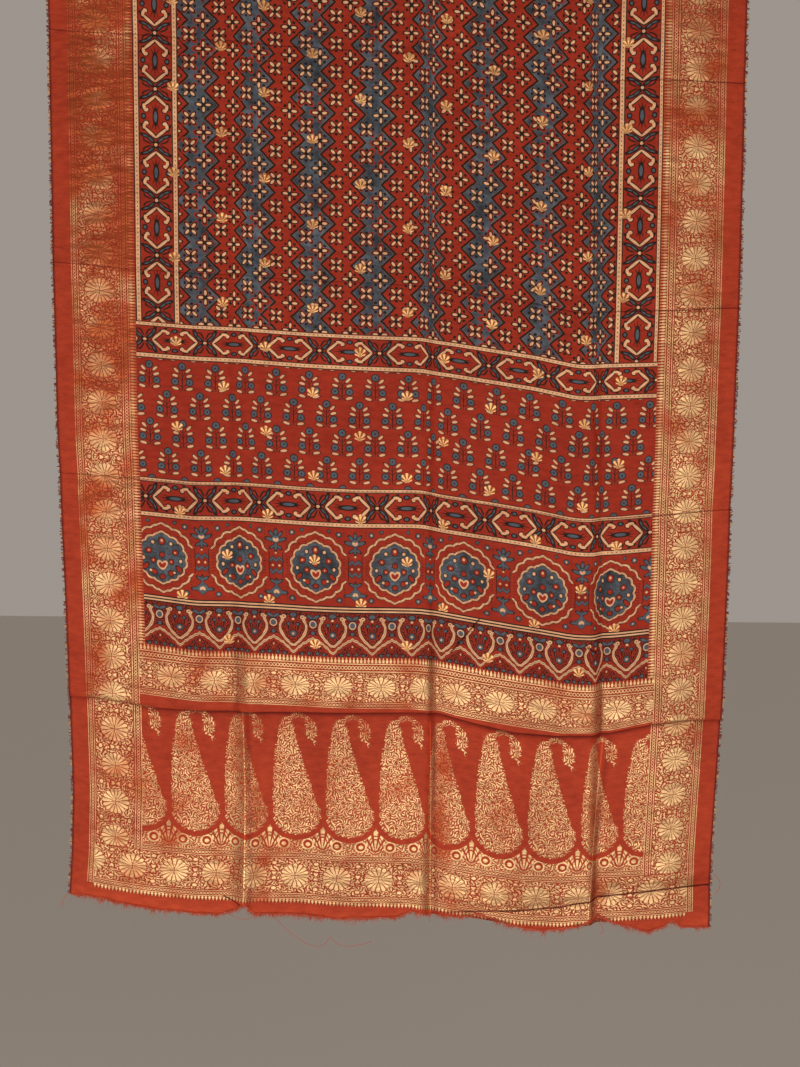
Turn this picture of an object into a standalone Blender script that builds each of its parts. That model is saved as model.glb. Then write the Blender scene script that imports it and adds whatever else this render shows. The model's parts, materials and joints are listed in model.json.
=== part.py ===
"""A hung ajrakh cloth: one woven piece with its folds and creases, as a thin closed solid.

Metres, +Z up. The cloth faces -Y, and the origin is the middle of its straight top edge.
"across" is measured on the flat cloth from its left selvage, and "depth" straight down from
the top edge. A weft thread starts at its level on the left selvage and sags on its way right.
"""

import bpy
import numpy as np

# The cloth, flat and hung
FLAT_WIDTH = 1.000
THICKNESS = 0.0012

# The hung cloth's two selvages: x at each depth
SELVAGES = (  # depth, left x, right x
    (0.000, -0.481, 0.481),
    (0.390, -0.480, 0.484),
    (0.650, -0.478, 0.483),
    (0.870, -0.471, 0.481),
    (1.020, -0.467, 0.479),
    (1.170, -0.464, 0.473),
    (1.260, -0.467, 0.470),
    (1.370, -0.475, 0.471),
)

# How far a weft thread has sagged below its level, at five levels down the cloth
WEFT_SAG = (  # across, sag at each of SAG_LEVELS
    (0.000, 0.0000, 0.0000, 0.0000, 0.0000, 0.0000),
    (0.060, 0.0040, 0.0040, 0.0040, 0.0040, 0.0120),
    (0.115, 0.0070, 0.0080, 0.0080, 0.0090, 0.0200),
    (0.190, 0.0120, 0.0135, 0.0150, 0.0190, 0.0265),
    (0.270, 0.0150, 0.0165, 0.0150, 0.0200, 0.0280),
    (0.360, 0.0225, 0.0225, 0.0205, 0.0245, 0.0290),
    (0.430, 0.0255, 0.0255, 0.0235, 0.0262, 0.0335),
    (0.525, 0.0280, 0.0283, 0.0233, 0.0268, 0.0345),
    (0.575, 0.0340, 0.0338, 0.0308, 0.0325, 0.0420),
    (0.640, 0.0440, 0.0435, 0.0400, 0.0435, 0.0515),
    (0.700, 0.0530, 0.0525, 0.0495, 0.0527, 0.0590),
    (0.760, 0.0640, 0.0648, 0.0618, 0.0625, 0.0620),
    (0.785, 0.0640, 0.0645, 0.0624, 0.0630, 0.0580),
    (0.835, 0.0630, 0.0625, 0.0597, 0.0600, 0.0560),
    (0.890, 0.0610, 0.0605, 0.0540, 0.0528, 0.0510),
    (1.000, 0.0660, 0.0530, 0.0440, 0.0400, 0.0400),
)
SAG_LEVELS = (0.10, 0.50, 0.73, 0.92, 1.25)

# Lengthways folds: a ridge stands out from the cloth, a valley (below zero) goes in
FOLDS = (  # across at the top and the end, height high, midway and low, reach
    (0.245, 0.247, -0.002, -0.004, -0.007, 0.040),
    (0.272, 0.268, 0.002, 0.004, 0.012, 0.020),
    (0.400, 0.400, 0.004, 0.006, 0.005, 0.090),
    (0.530, 0.542, 0.003, 0.006, 0.011, 0.024),
    (0.549, 0.561, -0.003, -0.007, -0.013, 0.022),
    (0.665, 0.690, 0.003, 0.004, 0.006, 0.070),
    (0.768, 0.806, 0.003, 0.006, 0.014, 0.026),
    (0.790, 0.828, -0.004, -0.007, -0.013, 0.024),
    (0.930, 0.930, 0.003, 0.002, 0.004, 0.060),
)
FOLD_LEVELS = (0.10, 0.75, 1.20)
FOLD_ROUNDING = 0.008
TOP_FADE = 0.16

# Cloth that each main fold takes up across
TAKEN_UP = (  # across at the top and the end, width lost, reach
    (0.270, 0.266, 0.007, 0.030),
    (0.538, 0.552, 0.015, 0.028),
    (0.781, 0.817, 0.016, 0.024),
)

# Crossways packing creases, by their level on the left selvage
CREASES = (  # level, height, reach
    (0.092, -0.003, 0.022),
    (0.410, 0.003, 0.040),
    (0.706, -0.004, 0.030),
)

# The ledge: the crease above the paisley panel, where the cloth overhangs
LEDGE_REACH = 0.055
LEDGE_TURN = 0.005
LEDGE = (  # across, depth, swell above its line, drop back below it
    (0.000, 1.027, 0.005, 0.002),
    (0.034, 1.029, 0.005, 0.002),
    (0.087, 1.036, 0.007, 0.004),
    (0.127, 1.043, 0.009, 0.005),
    (0.191, 1.047, 0.011, 0.006),
    (0.279, 1.047, 0.011, 0.006),
    (0.436, 1.047, 0.011, 0.005),
    (0.529, 1.046, 0.009, 0.005),
    (0.570, 1.049, 0.010, 0.006),
    (0.623, 1.062, 0.012, 0.007),
    (0.676, 1.073, 0.013, 0.007),
    (0.739, 1.078, 0.014, 0.007),
    (0.834, 1.075, 0.012, 0.006),
    (0.897, 1.061, 0.009, 0.004),
    (0.950, 1.054, 0.007, 0.003),
    (1.000, 1.054, 0.005, 0.002),
)

# The last crease lifts the right half of the raw end
END_CREASE = (  # across, depth
    (0.560, 1.352),
    (0.640, 1.350),
    (0.740, 1.344),
    (0.830, 1.329),
    (0.920, 1.313),
    (1.000, 1.305),
)
END_CREASE_HEIGHT = -0.004
END_CREASE_REACH = 0.012
END_CREASE_FADE = 0.08

# The raw end, with its notches at the folds
RAW_END = (  # across, depth
    (0.000, 1.326),
    (0.035, 1.329),
    (0.072, 1.338),
    (0.130, 1.348),
    (0.187, 1.354),
    (0.225, 1.356),
    (0.247, 1.349),
    (0.267, 1.337),
    (0.287, 1.353),
    (0.354, 1.353),
    (0.420, 1.359),
    (0.499, 1.356),
    (0.520, 1.346),
    (0.553, 1.352),
    (0.610, 1.356),
    (0.637, 1.352),
    (0.665, 1.359),
    (0.695, 1.368),
    (0.732, 1.374),
    (0.781, 1.368),
    (0.805, 1.358),
    (0.830, 1.352),
    (0.854, 1.362),
    (0.909, 1.375),
    (0.931, 1.366),
    (0.944, 1.356),
    (0.957, 1.367),
    (1.000, 1.368),
)

# The grid's columns run between the selvages and the main folds, which drift to the right
GUIDE_COLUMNS = (  # across at the top and the end, columns since the last one
    (0.000, 0.000, 0),
    (0.110, 0.110, 5),
    (0.245, 0.247, 6),
    (0.272, 0.268, 2),
    (0.400, 0.400, 6),
    (0.530, 0.542, 6),
    (0.549, 0.561, 2),
    (0.665, 0.690, 5),
    (0.768, 0.806, 5),
    (0.790, 0.828, 2),
    (1.000, 1.000, 9),
)

# The grid's rows: how many lie between the top edge, the creases, the ledge and the raw end
ROWS_TO_CREASE = (3, 8, 8)
ROWS_TO_LEDGE = 7
LEDGE_ROWS = (-0.028, -0.012, -0.004, 0.000, 0.005, 0.012, 0.028)
ROWS_TO_END = 9


def column(table, index):
    """One column of a table."""
    return np.array([row[index] for row in table])


def reading(table, index, place):
    """A column of a table, read at a place in its first column."""
    return np.interp(place, column(table, 0), column(table, index))


def smooth(x):
    """Runs from 0 to 1 as x does, level at both ends."""
    x = np.clip(x, 0.0, 1.0)
    return x * x * (3.0 - 2.0 * x)


def along(levels, values, depth):
    """Values given at a few depths, run smoothly from one to the next."""
    out = np.full_like(depth, values[0])
    for upper, lower, before, after in zip(levels, levels[1:], values, values[1:]):
        out += (after - before) * smooth((depth - upper) / (lower - upper))
    return out


def drift(depth, top, end):
    """A place across that moves evenly from the top edge to the raw end."""
    return top + (end - top) * depth / RAW_END[-1][1]


def weft_sag(across, level):
    """How far below its level a weft thread lies."""
    sags = [reading(WEFT_SAG, 1 + i, across) for i in range(len(SAG_LEVELS))]
    return along(SAG_LEVELS, sags, level + 0.0 * across)


def weft(across, level):
    """The depth of the weft thread that leaves the left selvage at a level."""
    return level + weft_sag(across, level)


def raw_end(across):
    """The depth of the raw end."""
    return reading(RAW_END, 1, across)


def soft_peak(distance, reach):
    """A fold's section: 1 on its line, rounded there, and falling off on both sides."""
    away = np.sqrt(distance**2 + FOLD_ROUNDING**2) - FOLD_ROUNDING
    return np.exp(-away / reach)


def hung_x(across, depth):
    """The x of a point: spread between the selvages, less what each fold takes up."""
    left, right = reading(SELVAGES, 1, depth), reading(SELVAGES, 2, depth)
    seen = across + 0.0
    for top, end, lost, reach in TAKEN_UP:
        start = drift(depth, top, end) - reach
        seen -= lost * smooth((across - start) / (2.0 * reach))
    return left + (right - left) * seen / (FLAT_WIDTH - sum(column(TAKEN_UP, 2)))


def standing_out(across, depth):
    """How far the folds and creases bring the cloth out towards -Y."""
    out = np.zeros_like(across)
    for top, end, high, midway, low, reach in FOLDS:
        height = along(FOLD_LEVELS, (high, midway, low), depth)
        out += height * soft_peak(across - drift(depth, top, end), reach)
    for level, height, reach in CREASES:
        out += height * soft_peak(depth - weft(across, level), reach)

    # The ledge swells above its line and turns in sharply below it.
    line, swell, drop_back = (reading(LEDGE, i, across) for i in (1, 2, 3))
    below = depth - line
    swell = swell * np.exp(np.minimum(below, 0.0) / LEDGE_REACH)
    drop_back = drop_back * np.exp(-np.maximum(below - LEDGE_TURN, 0.0) / LEDGE_REACH)
    turn = smooth(below / LEDGE_TURN)
    out += (1.0 - turn) * swell - turn * drop_back

    # The last crease fades in from the middle of the cloth.
    line = reading(END_CREASE, 1, across)
    strength = smooth((across - END_CREASE[0][0]) / END_CREASE_FADE)
    out += END_CREASE_HEIGHT * strength * soft_peak(depth - line, END_CREASE_REACH)
    return out * smooth(depth / TOP_FADE)


def guide_columns(index):
    """Places across at the top edge (0) or the raw end (1), even between guide columns."""
    count = np.cumsum(column(GUIDE_COLUMNS, 2))
    return np.interp(np.arange(count[-1] + 1), count, column(GUIDE_COLUMNS, index))


def guide_rows(across):
    """The depths of the lines that the rows run between: edges, creases and ledge."""
    ledge = reading(LEDGE, 1, across)
    lines = [0.0 * across]
    lines += [weft(across, level) for level, _, _ in CREASES]
    lines += [ledge + offset for offset in LEDGE_ROWS]
    lines.append(raw_end(across))
    return np.array(lines)


def make_grid():
    """The across and depth of each grid point, row by row from the top edge."""
    steps = (*ROWS_TO_CREASE, ROWS_TO_LEDGE, *[1] * (len(LEDGE_ROWS) - 1), ROWS_TO_END)
    row_at = np.arange(sum(steps) + 1)
    line_at = np.cumsum((0, *steps))
    left_end = RAW_END[0][1]
    top_places, end_places = guide_columns(0), guide_columns(1)
    across, depth = [], []
    for row in row_at:
        share = np.interp(row, line_at, guide_rows(np.zeros(1))[:, 0]) / left_end
        places = top_places + (end_places - top_places) * share
        lines = guide_rows(places)
        upper = min(np.searchsorted(line_at, row, side="right") - 1, len(steps) - 1)
        part = (row - line_at[upper]) / steps[upper]
        across.append(places)
        depth.append(lines[upper] + (lines[upper + 1] - lines[upper]) * part)
    return np.array(across), np.array(depth)


def make_cloth():
    """The sheet as a grid of four-sided faces, thickened evenly to both sides."""
    across, depth = make_grid()
    x = hung_x(across, depth)
    y = -standing_out(across, depth)
    corners = np.stack([x, y, -depth], axis=-1).reshape(-1, 3)

    rows, columns = depth.shape
    index = np.arange(rows * columns).reshape(rows, columns)
    faces = np.stack(
        [index[:-1, :-1], index[1:, :-1], index[1:, 1:], index[:-1, 1:]], axis=-1
    ).reshape(-1, 4)
    mesh = bpy.data.meshes.new("ajrakh_cloth")
    mesh.from_pydata(corners.tolist(), [], faces.tolist())
    mesh.validate()
    cloth = bpy.data.objects.new("ajrakh_cloth", mesh)
    bpy.context.collection.objects.link(cloth)
    cloth.data.shade_smooth()

    wall = cloth.modifiers.new("Wall", "SOLIDIFY")
    wall.thickness = THICKNESS
    wall.offset = 0.0
    return cloth


def cloth_material():
    """Madder-red printed silk blend."""
    material = bpy.data.materials.new("madder_cloth")
    material.use_nodes = True
    shader = material.node_tree.nodes["Principled BSDF"]
    shader.inputs["Base Color"].default_value = (0.38, 0.06, 0.025, 1.0)
    shader.inputs["Roughness"].default_value = 0.75
    shader.inputs["Metallic"].default_value = 0.0
    return material


def main():
    for item in list(bpy.data.objects):
        bpy.data.objects.remove(item, do_unlink=True)
    cloth = make_cloth()
    cloth.data.materials.append(cloth_material())


main()
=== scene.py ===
"""The hung ajrakh cloth as it looks: block print, woven zari, folds, fray and light.

Metres, +Z up, the printed face towards -Y. The cloth's own coordinates are "across", on the
flat cloth from its left selvage, and "level", the depth at the left selvage of a weft thread.
They are also the cloth's UV map, so each pattern is laid out in the flat cloth's metres.
"""

import json
import math

import bpy
import numpy as np
from bpy.props import FloatProperty, FloatVectorProperty, PointerProperty
from mathutils import Matrix, Vector

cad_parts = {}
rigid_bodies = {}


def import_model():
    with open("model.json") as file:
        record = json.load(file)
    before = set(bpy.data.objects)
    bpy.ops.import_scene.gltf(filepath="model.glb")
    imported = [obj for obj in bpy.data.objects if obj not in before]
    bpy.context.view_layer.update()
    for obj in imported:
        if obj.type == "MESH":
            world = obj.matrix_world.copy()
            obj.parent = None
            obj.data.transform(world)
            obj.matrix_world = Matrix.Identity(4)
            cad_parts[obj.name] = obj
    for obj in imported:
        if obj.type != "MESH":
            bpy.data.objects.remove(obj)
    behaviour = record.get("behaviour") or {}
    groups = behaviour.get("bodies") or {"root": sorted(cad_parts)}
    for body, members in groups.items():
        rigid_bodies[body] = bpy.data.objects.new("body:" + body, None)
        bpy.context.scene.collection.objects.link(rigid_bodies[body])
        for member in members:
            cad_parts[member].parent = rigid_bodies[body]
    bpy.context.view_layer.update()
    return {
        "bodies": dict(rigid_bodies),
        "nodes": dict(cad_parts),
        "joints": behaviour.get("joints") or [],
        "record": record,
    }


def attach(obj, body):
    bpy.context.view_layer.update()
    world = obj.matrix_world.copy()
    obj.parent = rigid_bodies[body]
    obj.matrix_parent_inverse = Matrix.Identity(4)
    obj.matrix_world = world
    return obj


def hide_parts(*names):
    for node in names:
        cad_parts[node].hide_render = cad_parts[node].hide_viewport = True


bl_info = {
    "name": "Ajrakh cloth",
    "version": (1, 0, 0),
    "blender": (4, 5, 0),
    "location": "View3D > Sidebar > Cloth",
    "description": "Builds a hung, block-printed and brocaded cloth on its frame",
    "category": "Add Mesh",
}

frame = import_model()

# ---------------------------------------------------------------- the cloth's form

FLAT_WIDTH = 1.000

# x of the two selvages at each depth
SELVAGES = (  # depth, left x, right x
    (0.000, -0.481, 0.481),
    (0.390, -0.480, 0.484),
    (0.650, -0.478, 0.483),
    (0.870, -0.471, 0.481),
    (1.020, -0.467, 0.479),
    (1.170, -0.464, 0.473),
    (1.260, -0.467, 0.470),
    (1.370, -0.475, 0.471),
)

# How far a weft thread has sagged below its level, at five levels down the cloth
WEFT_SAG = (  # across, sag at each of SAG_LEVELS
    (0.000, 0.0000, 0.0000, 0.0000, 0.0000, 0.0000),
    (0.060, 0.0040, 0.0040, 0.0040, 0.0040, 0.0120),
    (0.115, 0.0070, 0.0080, 0.0080, 0.0090, 0.0200),
    (0.190, 0.0120, 0.0135, 0.0150, 0.0190, 0.0265),
    (0.270, 0.0150, 0.0165, 0.0150, 0.0200, 0.0280),
    (0.360, 0.0225, 0.0225, 0.0205, 0.0245, 0.0290),
    (0.430, 0.0255, 0.0255, 0.0235, 0.0262, 0.0335),
    (0.525, 0.0280, 0.0283, 0.0233, 0.0268, 0.0345),
    (0.575, 0.0340, 0.0338, 0.0308, 0.0325, 0.0420),
    (0.640, 0.0440, 0.0435, 0.0400, 0.0435, 0.0515),
    (0.700, 0.0530, 0.0525, 0.0495, 0.0527, 0.0590),
    (0.760, 0.0640, 0.0648, 0.0618, 0.0625, 0.0620),
    (0.785, 0.0640, 0.0645, 0.0624, 0.0630, 0.0580),
    (0.835, 0.0630, 0.0625, 0.0597, 0.0600, 0.0560),
    (0.890, 0.0610, 0.0605, 0.0540, 0.0528, 0.0510),
    (1.000, 0.0660, 0.0530, 0.0440, 0.0400, 0.0400),
)
SAG_LEVELS = (0.10, 0.50, 0.73, 0.92, 1.25)
SAG_SOFTNESS = 0.010

# Lengthways folds: a ridge stands out from the cloth, a valley (below zero) goes in
FOLDS = (  # across at the top and the end, height high, midway and low, reach
    (0.245, 0.247, -0.002, -0.004, -0.007, 0.040),
    (0.272, 0.268, 0.002, 0.004, 0.012, 0.020),
    (0.400, 0.400, 0.004, 0.006, 0.005, 0.090),
    (0.530, 0.542, 0.003, 0.006, 0.011, 0.024),
    (0.549, 0.561, -0.003, -0.007, -0.013, 0.022),
    (0.665, 0.690, 0.003, 0.004, 0.006, 0.070),
    (0.768, 0.806, 0.003, 0.006, 0.014, 0.026),
    (0.790, 0.828, -0.004, -0.007, -0.013, 0.024),
    (0.930, 0.930, 0.003, 0.002, 0.004, 0.060),
)
FOLD_LEVELS = (0.10, 0.75, 1.20)

# Painted shade along the folds' valleys above the ledge: across at the top and the end
VALLEYS = ((0.247, 0.249), (0.542, 0.548), (0.790, 0.828))

# The folds' sharp ridges below the ledge, where a highlight is painted: across at its level, and
# across gained per level
RIDGES = ((0.2568, 0.032), (0.5460, 0.054), (0.8282, -0.092))
RIDGE_LEVEL = 1.030

# Beside each ridge, where the cloth turns away, shade is painted to its right: a narrow dark
# valley, and a wide strip where the gold is painted dull
VALLEY_BESIDE, SHADED_GOLD_BESIDE = 0.0095, 0.0230

FOLD_ROUNDING = 0.008
TOP_FADE = 0.16

# Cloth that each main fold takes up across
TAKEN_UP = (  # across at the top and the end, width lost, reach
    (0.270, 0.266, 0.007, 0.030),
    (0.538, 0.552, 0.015, 0.028),
    (0.781, 0.817, 0.016, 0.024),
)

# Crossways packing creases, by their level on the left selvage
CREASES = (  # level, height, reach
    (0.092, -0.003, 0.022),
    (0.410, 0.003, 0.040),
    (0.706, -0.004, 0.030),
)

# The ledge: the crease above the paisley panel, where the cloth overhangs
LEDGE_REACH = 0.055
LEDGE_TURN = 0.004
LEDGE = (  # across, depth, swell above its line, drop back below it
    (0.000, 1.027, 0.005, 0.002),
    (0.034, 1.029, 0.005, 0.002),
    (0.087, 1.036, 0.007, 0.004),
    (0.127, 1.043, 0.009, 0.005),
    (0.191, 1.047, 0.011, 0.006),
    (0.279, 1.047, 0.011, 0.006),
    (0.436, 1.047, 0.011, 0.005),
    (0.529, 1.046, 0.009, 0.005),
    (0.570, 1.049, 0.010, 0.006),
    (0.623, 1.062, 0.012, 0.007),
    (0.676, 1.073, 0.013, 0.007),
    (0.739, 1.078, 0.014, 0.007),
    (0.834, 1.075, 0.012, 0.006),
    (0.897, 1.061, 0.009, 0.004),
    (0.950, 1.054, 0.007, 0.003),
    (1.000, 1.054, 0.005, 0.002),
)

# The last crease lifts the right half of the raw end
END_CREASE = (  # across, depth
    (0.560, 1.352),
    (0.640, 1.350),
    (0.740, 1.344),
    (0.830, 1.329),
    (0.920, 1.313),
    (1.000, 1.305),
)
END_CREASE_HEIGHT = -0.004
END_CREASE_REACH = 0.012
END_CREASE_FADE = 0.08

# The same crease on the flat cloth: its level at the right selvage, and its bend downwards
LAST_CREASE_LEVEL, LAST_CREASE_BEND, LAST_CREASE_START = 1.2640, 0.253, 0.595

# Short sharp creases on the flat cloth, drawn as lines of painted shade and a dip in the bump
SHORT_CREASES = (  # across, level, half length, turn in degrees
    (0.6037, 0.8991, 0.0340, -53.6),
    (0.7919, 0.8926, 0.0097, 25.7),
    (0.2560, 1.3107, 0.0256, 21.3),
)

# The raw end, with its notches at the folds
RAW_END = (  # across, depth
    (0.000, 1.326),
    (0.035, 1.329),
    (0.072, 1.338),
    (0.130, 1.348),
    (0.187, 1.354),
    (0.225, 1.356),
    (0.247, 1.349),
    (0.267, 1.337),
    (0.287, 1.353),
    (0.354, 1.353),
    (0.420, 1.359),
    (0.499, 1.356),
    (0.520, 1.346),
    (0.553, 1.352),
    (0.610, 1.356),
    (0.637, 1.352),
    (0.665, 1.359),
    (0.695, 1.368),
    (0.732, 1.374),
    (0.781, 1.368),
    (0.805, 1.358),
    (0.830, 1.352),
    (0.854, 1.362),
    (0.909, 1.375),
    (0.931, 1.366),
    (0.944, 1.356),
    (0.957, 1.367),
    (1.000, 1.368),
)


def column(table, index):
    """One column of a table."""
    return np.array([row[index] for row in table])


def reading(table, index, place):
    """A column of a table, read at a place in its first column."""
    return np.interp(place, column(table, 0), column(table, index))


def smooth(x):
    """Runs from 0 to 1 as x does, level at both ends."""
    x = np.clip(x, 0.0, 1.0)
    return x * x * (3.0 - 2.0 * x)


def along(levels, values, depth):
    """Values given at a few depths, run smoothly from one to the next."""
    out = np.full_like(depth, values[0])
    for upper, lower, before, after in zip(levels, levels[1:], values, values[1:]):
        out += (after - before) * smooth((depth - upper) / (lower - upper))
    return out


def drift(depth, top, end):
    """A place across that moves evenly from the top edge to the raw end."""
    return top + (end - top) * depth / RAW_END[-1][1]


def weft_sag(across, level):
    """How far below its level a weft thread lies, with its bends softened."""
    steps = (-1.0, -0.5, 0.0, 0.5, 1.0)
    sags = [
        sum(reading(WEFT_SAG, 1 + i, across + step * SAG_SOFTNESS) for step in steps) / len(steps)
        for i in range(len(SAG_LEVELS))
    ]
    return along(SAG_LEVELS, sags, level + 0.0 * across)


def level_of(across, depth):
    """The level of the weft thread that passes a depth."""
    level = depth + 0.0 * across
    for _ in range(12):
        level = depth - weft_sag(across, level)
    return level


def soft_peak(distance, reach):
    """A fold's section: 1 on its line, rounded there, and falling off on both sides."""
    away = np.sqrt(distance**2 + FOLD_ROUNDING**2) - FOLD_ROUNDING
    return np.exp(-away / reach)


def hung_x(across, depth):
    """The x of a point: spread between the selvages, less what each fold takes up."""
    left, right = reading(SELVAGES, 1, depth), reading(SELVAGES, 2, depth)
    seen = across + 0.0
    for top, end, lost, reach in TAKEN_UP:
        start = drift(depth, top, end) - reach
        seen -= lost * smooth((across - start) / (2.0 * reach))
    return left + (right - left) * seen / (FLAT_WIDTH - sum(column(TAKEN_UP, 2)))


def standing_out(across, depth):
    """How far the folds and creases bring the cloth out towards -Y."""
    out = np.zeros_like(across)
    for top, end, high, midway, low, reach in FOLDS:
        height = along(FOLD_LEVELS, (high, midway, low), depth)
        out += height * soft_peak(across - drift(depth, top, end), reach)
    for level, height, reach in CREASES:
        out += height * soft_peak(depth - level - weft_sag(across, level), reach)

    # The ledge swells above its line and turns in sharply below it.
    line, swell, drop_back = (reading(LEDGE, i, across) for i in (1, 2, 3))
    below = depth - line
    swell = swell * np.exp(np.minimum(below, 0.0) / LEDGE_REACH)
    drop_back = drop_back * np.exp(-np.maximum(below - LEDGE_TURN, 0.0) / LEDGE_REACH)
    turn = smooth(below / LEDGE_TURN)
    out += (1.0 - turn) * swell - turn * drop_back

    # The last crease fades in from the middle of the cloth.
    line = reading(END_CREASE, 1, across)
    strength = smooth((across - END_CREASE[0][0]) / END_CREASE_FADE)
    out += END_CREASE_HEIGHT * strength * soft_peak(depth - line, END_CREASE_REACH)
    return out * smooth(depth / TOP_FADE)


def surface(across, depth):
    """Points of the hung cloth: x from hung_x, y from standing_out, z from the depth."""
    return np.stack([hung_x(across, depth), -standing_out(across, depth), -depth], axis=-1)


# ---------------------------------------------------------------- the cloth's bands

# Lower edges of the bands that run across the cloth, by level
TOP = -0.100
FIELD_END = 0.4815
STRIPE_1_END = 0.4885
ARROWS_1_END = 0.5245
STRIPE_2_END = 0.5330
BUSHES_END = 0.7015
STRIPE_3_END = 0.7087
ARROWS_2_END = 0.7500
STRIPE_4_END = 0.7585
MEDALLIONS_END = 0.8690
LINES_END = 0.8790
ARCHES_END = 0.9420
TEETH_END = 0.9505
NARROW_END = 0.9635
CROSS_ROSETTES_END = 1.0058
CROSS_NARROW_END = 1.0141
PLAIN_STRIP_END = 1.0265
VINE_END = 1.2308
END_NARROW_END = 1.2398
END_ROSETTES_END = 1.2928
LAST_NARROW_END = 1.3019
LAST_TEETH_END = 1.3080
LAST_LEVEL = 1.3275

# Each band: its pattern, its place on the flat cloth, which way its motifs follow one another
# ("down" or "over"), the first motif's place, their pitch, and the side that they point to
BANDS = (
    ("zigzags", 0.1775, 0.8255, TOP, FIELD_END, "over", 0.0, 1.0, 1),
    ("stripe", 0.1147, 0.1242, TOP, FIELD_END, "down", 0.0, 0.0060, 1),
    ("arrows", 0.1242, 0.1680, TOP, FIELD_END, "down", 0.1251, 0.0755, 1),
    ("stripe", 0.1680, 0.1775, TOP, FIELD_END, "down", 0.0, 0.0060, 1),
    ("stripe", 0.8255, 0.8353, TOP, FIELD_END, "down", 0.0, 0.0060, 1),
    ("arrows", 0.8353, 0.8810, TOP, FIELD_END, "down", 0.1399, 0.0755, 1),
    ("stripe", 0.8810, 0.8880, TOP, FIELD_END, "down", 0.0, 0.0060, 1),
    ("stripe", 0.1147, 0.8880, FIELD_END, STRIPE_1_END, "over", 0.0, 0.0063, 1),
    ("arrows", 0.1147, 0.8880, STRIPE_1_END, ARROWS_1_END, "over", 0.1690, 0.0845, 1),
    ("stripe", 0.1147, 0.8880, ARROWS_1_END, STRIPE_2_END, "over", 0.0, 0.0063, 1),
    ("bushes", 0.1147, 0.8880, STRIPE_2_END, BUSHES_END, "over", 0.0, 1.0, 1),
    ("stripe", 0.1147, 0.8880, BUSHES_END, STRIPE_3_END, "over", 0.0, 0.0063, 1),
    ("arrows", 0.1147, 0.8880, STRIPE_3_END, ARROWS_2_END, "over", 0.1645, 0.0848, 1),
    ("stripe", 0.1147, 0.8880, ARROWS_2_END, STRIPE_4_END, "over", 0.0, 0.0063, 1),
    ("medallions", 0.1147, 0.8880, STRIPE_4_END, MEDALLIONS_END, "over", 0.0, 1.0, 1),
    ("lines", 0.1147, 0.8880, MEDALLIONS_END, LINES_END, "over", 0.0, 1.0, 1),
    ("arches", 0.1147, 0.8880, LINES_END, ARCHES_END, "over", 0.0, 1.0, 1),
    ("teeth", 0.1050, 0.1147, TOP, ARCHES_END, "down", 0.0, 0.0042, 1),
    ("teeth", 0.8880, 0.8977, TOP, ARCHES_END, "down", 0.0, 0.0042, -1),
    ("teeth", 0.1050, 0.8977, ARCHES_END, TEETH_END, "over", 0.0, 0.0054, -1),
    ("narrow", 0.1050, 0.8977, TEETH_END, NARROW_END, "over", 0.0, 0.0050, 1),
    ("rosettes", 0.1050, 0.8977, NARROW_END, CROSS_ROSETTES_END, "over", 0.1515, 0.0630, 1),
    ("narrow", 0.1050, 0.8977, CROSS_ROSETTES_END, CROSS_NARROW_END, "over", 0.0, 0.0050, 1),
    ("paisleys", 0.1050, 0.8977, PLAIN_STRIP_END, VINE_END, "over", 0.0, 1.0, 1),
    ("narrow", 0.1050, 0.8977, VINE_END, END_NARROW_END, "over", 0.0, 0.0050, 1),
    ("narrow", 0.0255, 0.0353, TOP, LAST_NARROW_END, "down", 0.0, 0.0044, 1),
    ("rosettes", 0.0353, 0.0938, TOP, END_NARROW_END, "down", 0.0785, 0.0522, 1),
    ("narrow", 0.0938, 0.1050, TOP, END_NARROW_END, "down", 0.0, 0.0044, 1),
    ("narrow", 0.8977, 0.9087, TOP, END_NARROW_END, "down", 0.0, 0.0044, 1),
    ("rosettes", 0.9087, 0.9640, TOP, END_NARROW_END, "down", 0.0770, 0.0522, 1),
    ("narrow", 0.9640, 0.9743, TOP, LAST_NARROW_END, "down", 0.0, 0.0044, 1),
    ("rosettes", 0.0353, 0.9640, END_NARROW_END, END_ROSETTES_END, "over", 0.0925, 0.0630, 1),
    ("narrow", 0.0353, 0.9640, END_ROSETTES_END, LAST_NARROW_END, "over", 0.0, 0.0050, 1),
    ("teeth", 0.0353, 0.9640, LAST_NARROW_END, LAST_TEETH_END, "over", 0.0, 0.0054, 1),
)

# The grid: widest steps, how far its rows bend to the ledge, and the least plain strip above it
COLUMN_STEP = 0.0051
ROW_STEP = 0.0064
LEDGE_BEND = 0.045
LEAST_STRIP = 0.0030

# Extra rows below the ledge's lip, where and how widely the lip shades the cloth, how darkly
# at most, and the swell at which it does so
LIP_STEPS = (0.0013, 0.0026, 0.0040, 0.0060, 0.0085)
LIP_SHADE_PLACE, LIP_SHADE_REACH = 0.0040, 0.0046
LIP_SHADE_MOST, LIP_SHADE_SWELL = 0.90, 0.014


def cuts(lines, step):
    """Places on and evenly between the given lines, no further apart than the step."""
    places = [np.linspace(a, b, max(1, math.ceil((b - a) / step)) + 1)[:-1]
              for a, b in zip(lines, lines[1:])]
    return np.append(np.concatenate(places), lines[-1])


def flat_grid():
    """Across and level of the even grid whose lines fall on every band's edges."""
    columns = sorted({0.0, FLAT_WIDTH, *(edge for band in BANDS for edge in band[1:3])})
    rows = sorted({0.0, LAST_LEVEL, *(PLAIN_STRIP_END + step for step in LIP_STEPS),
                   *(edge for band in BANDS for edge in band[3:5] if edge > 0.0)})
    across, level = np.meshgrid(cuts(columns, COLUMN_STEP), cuts(rows, ROW_STEP))
    return across, level


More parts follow.
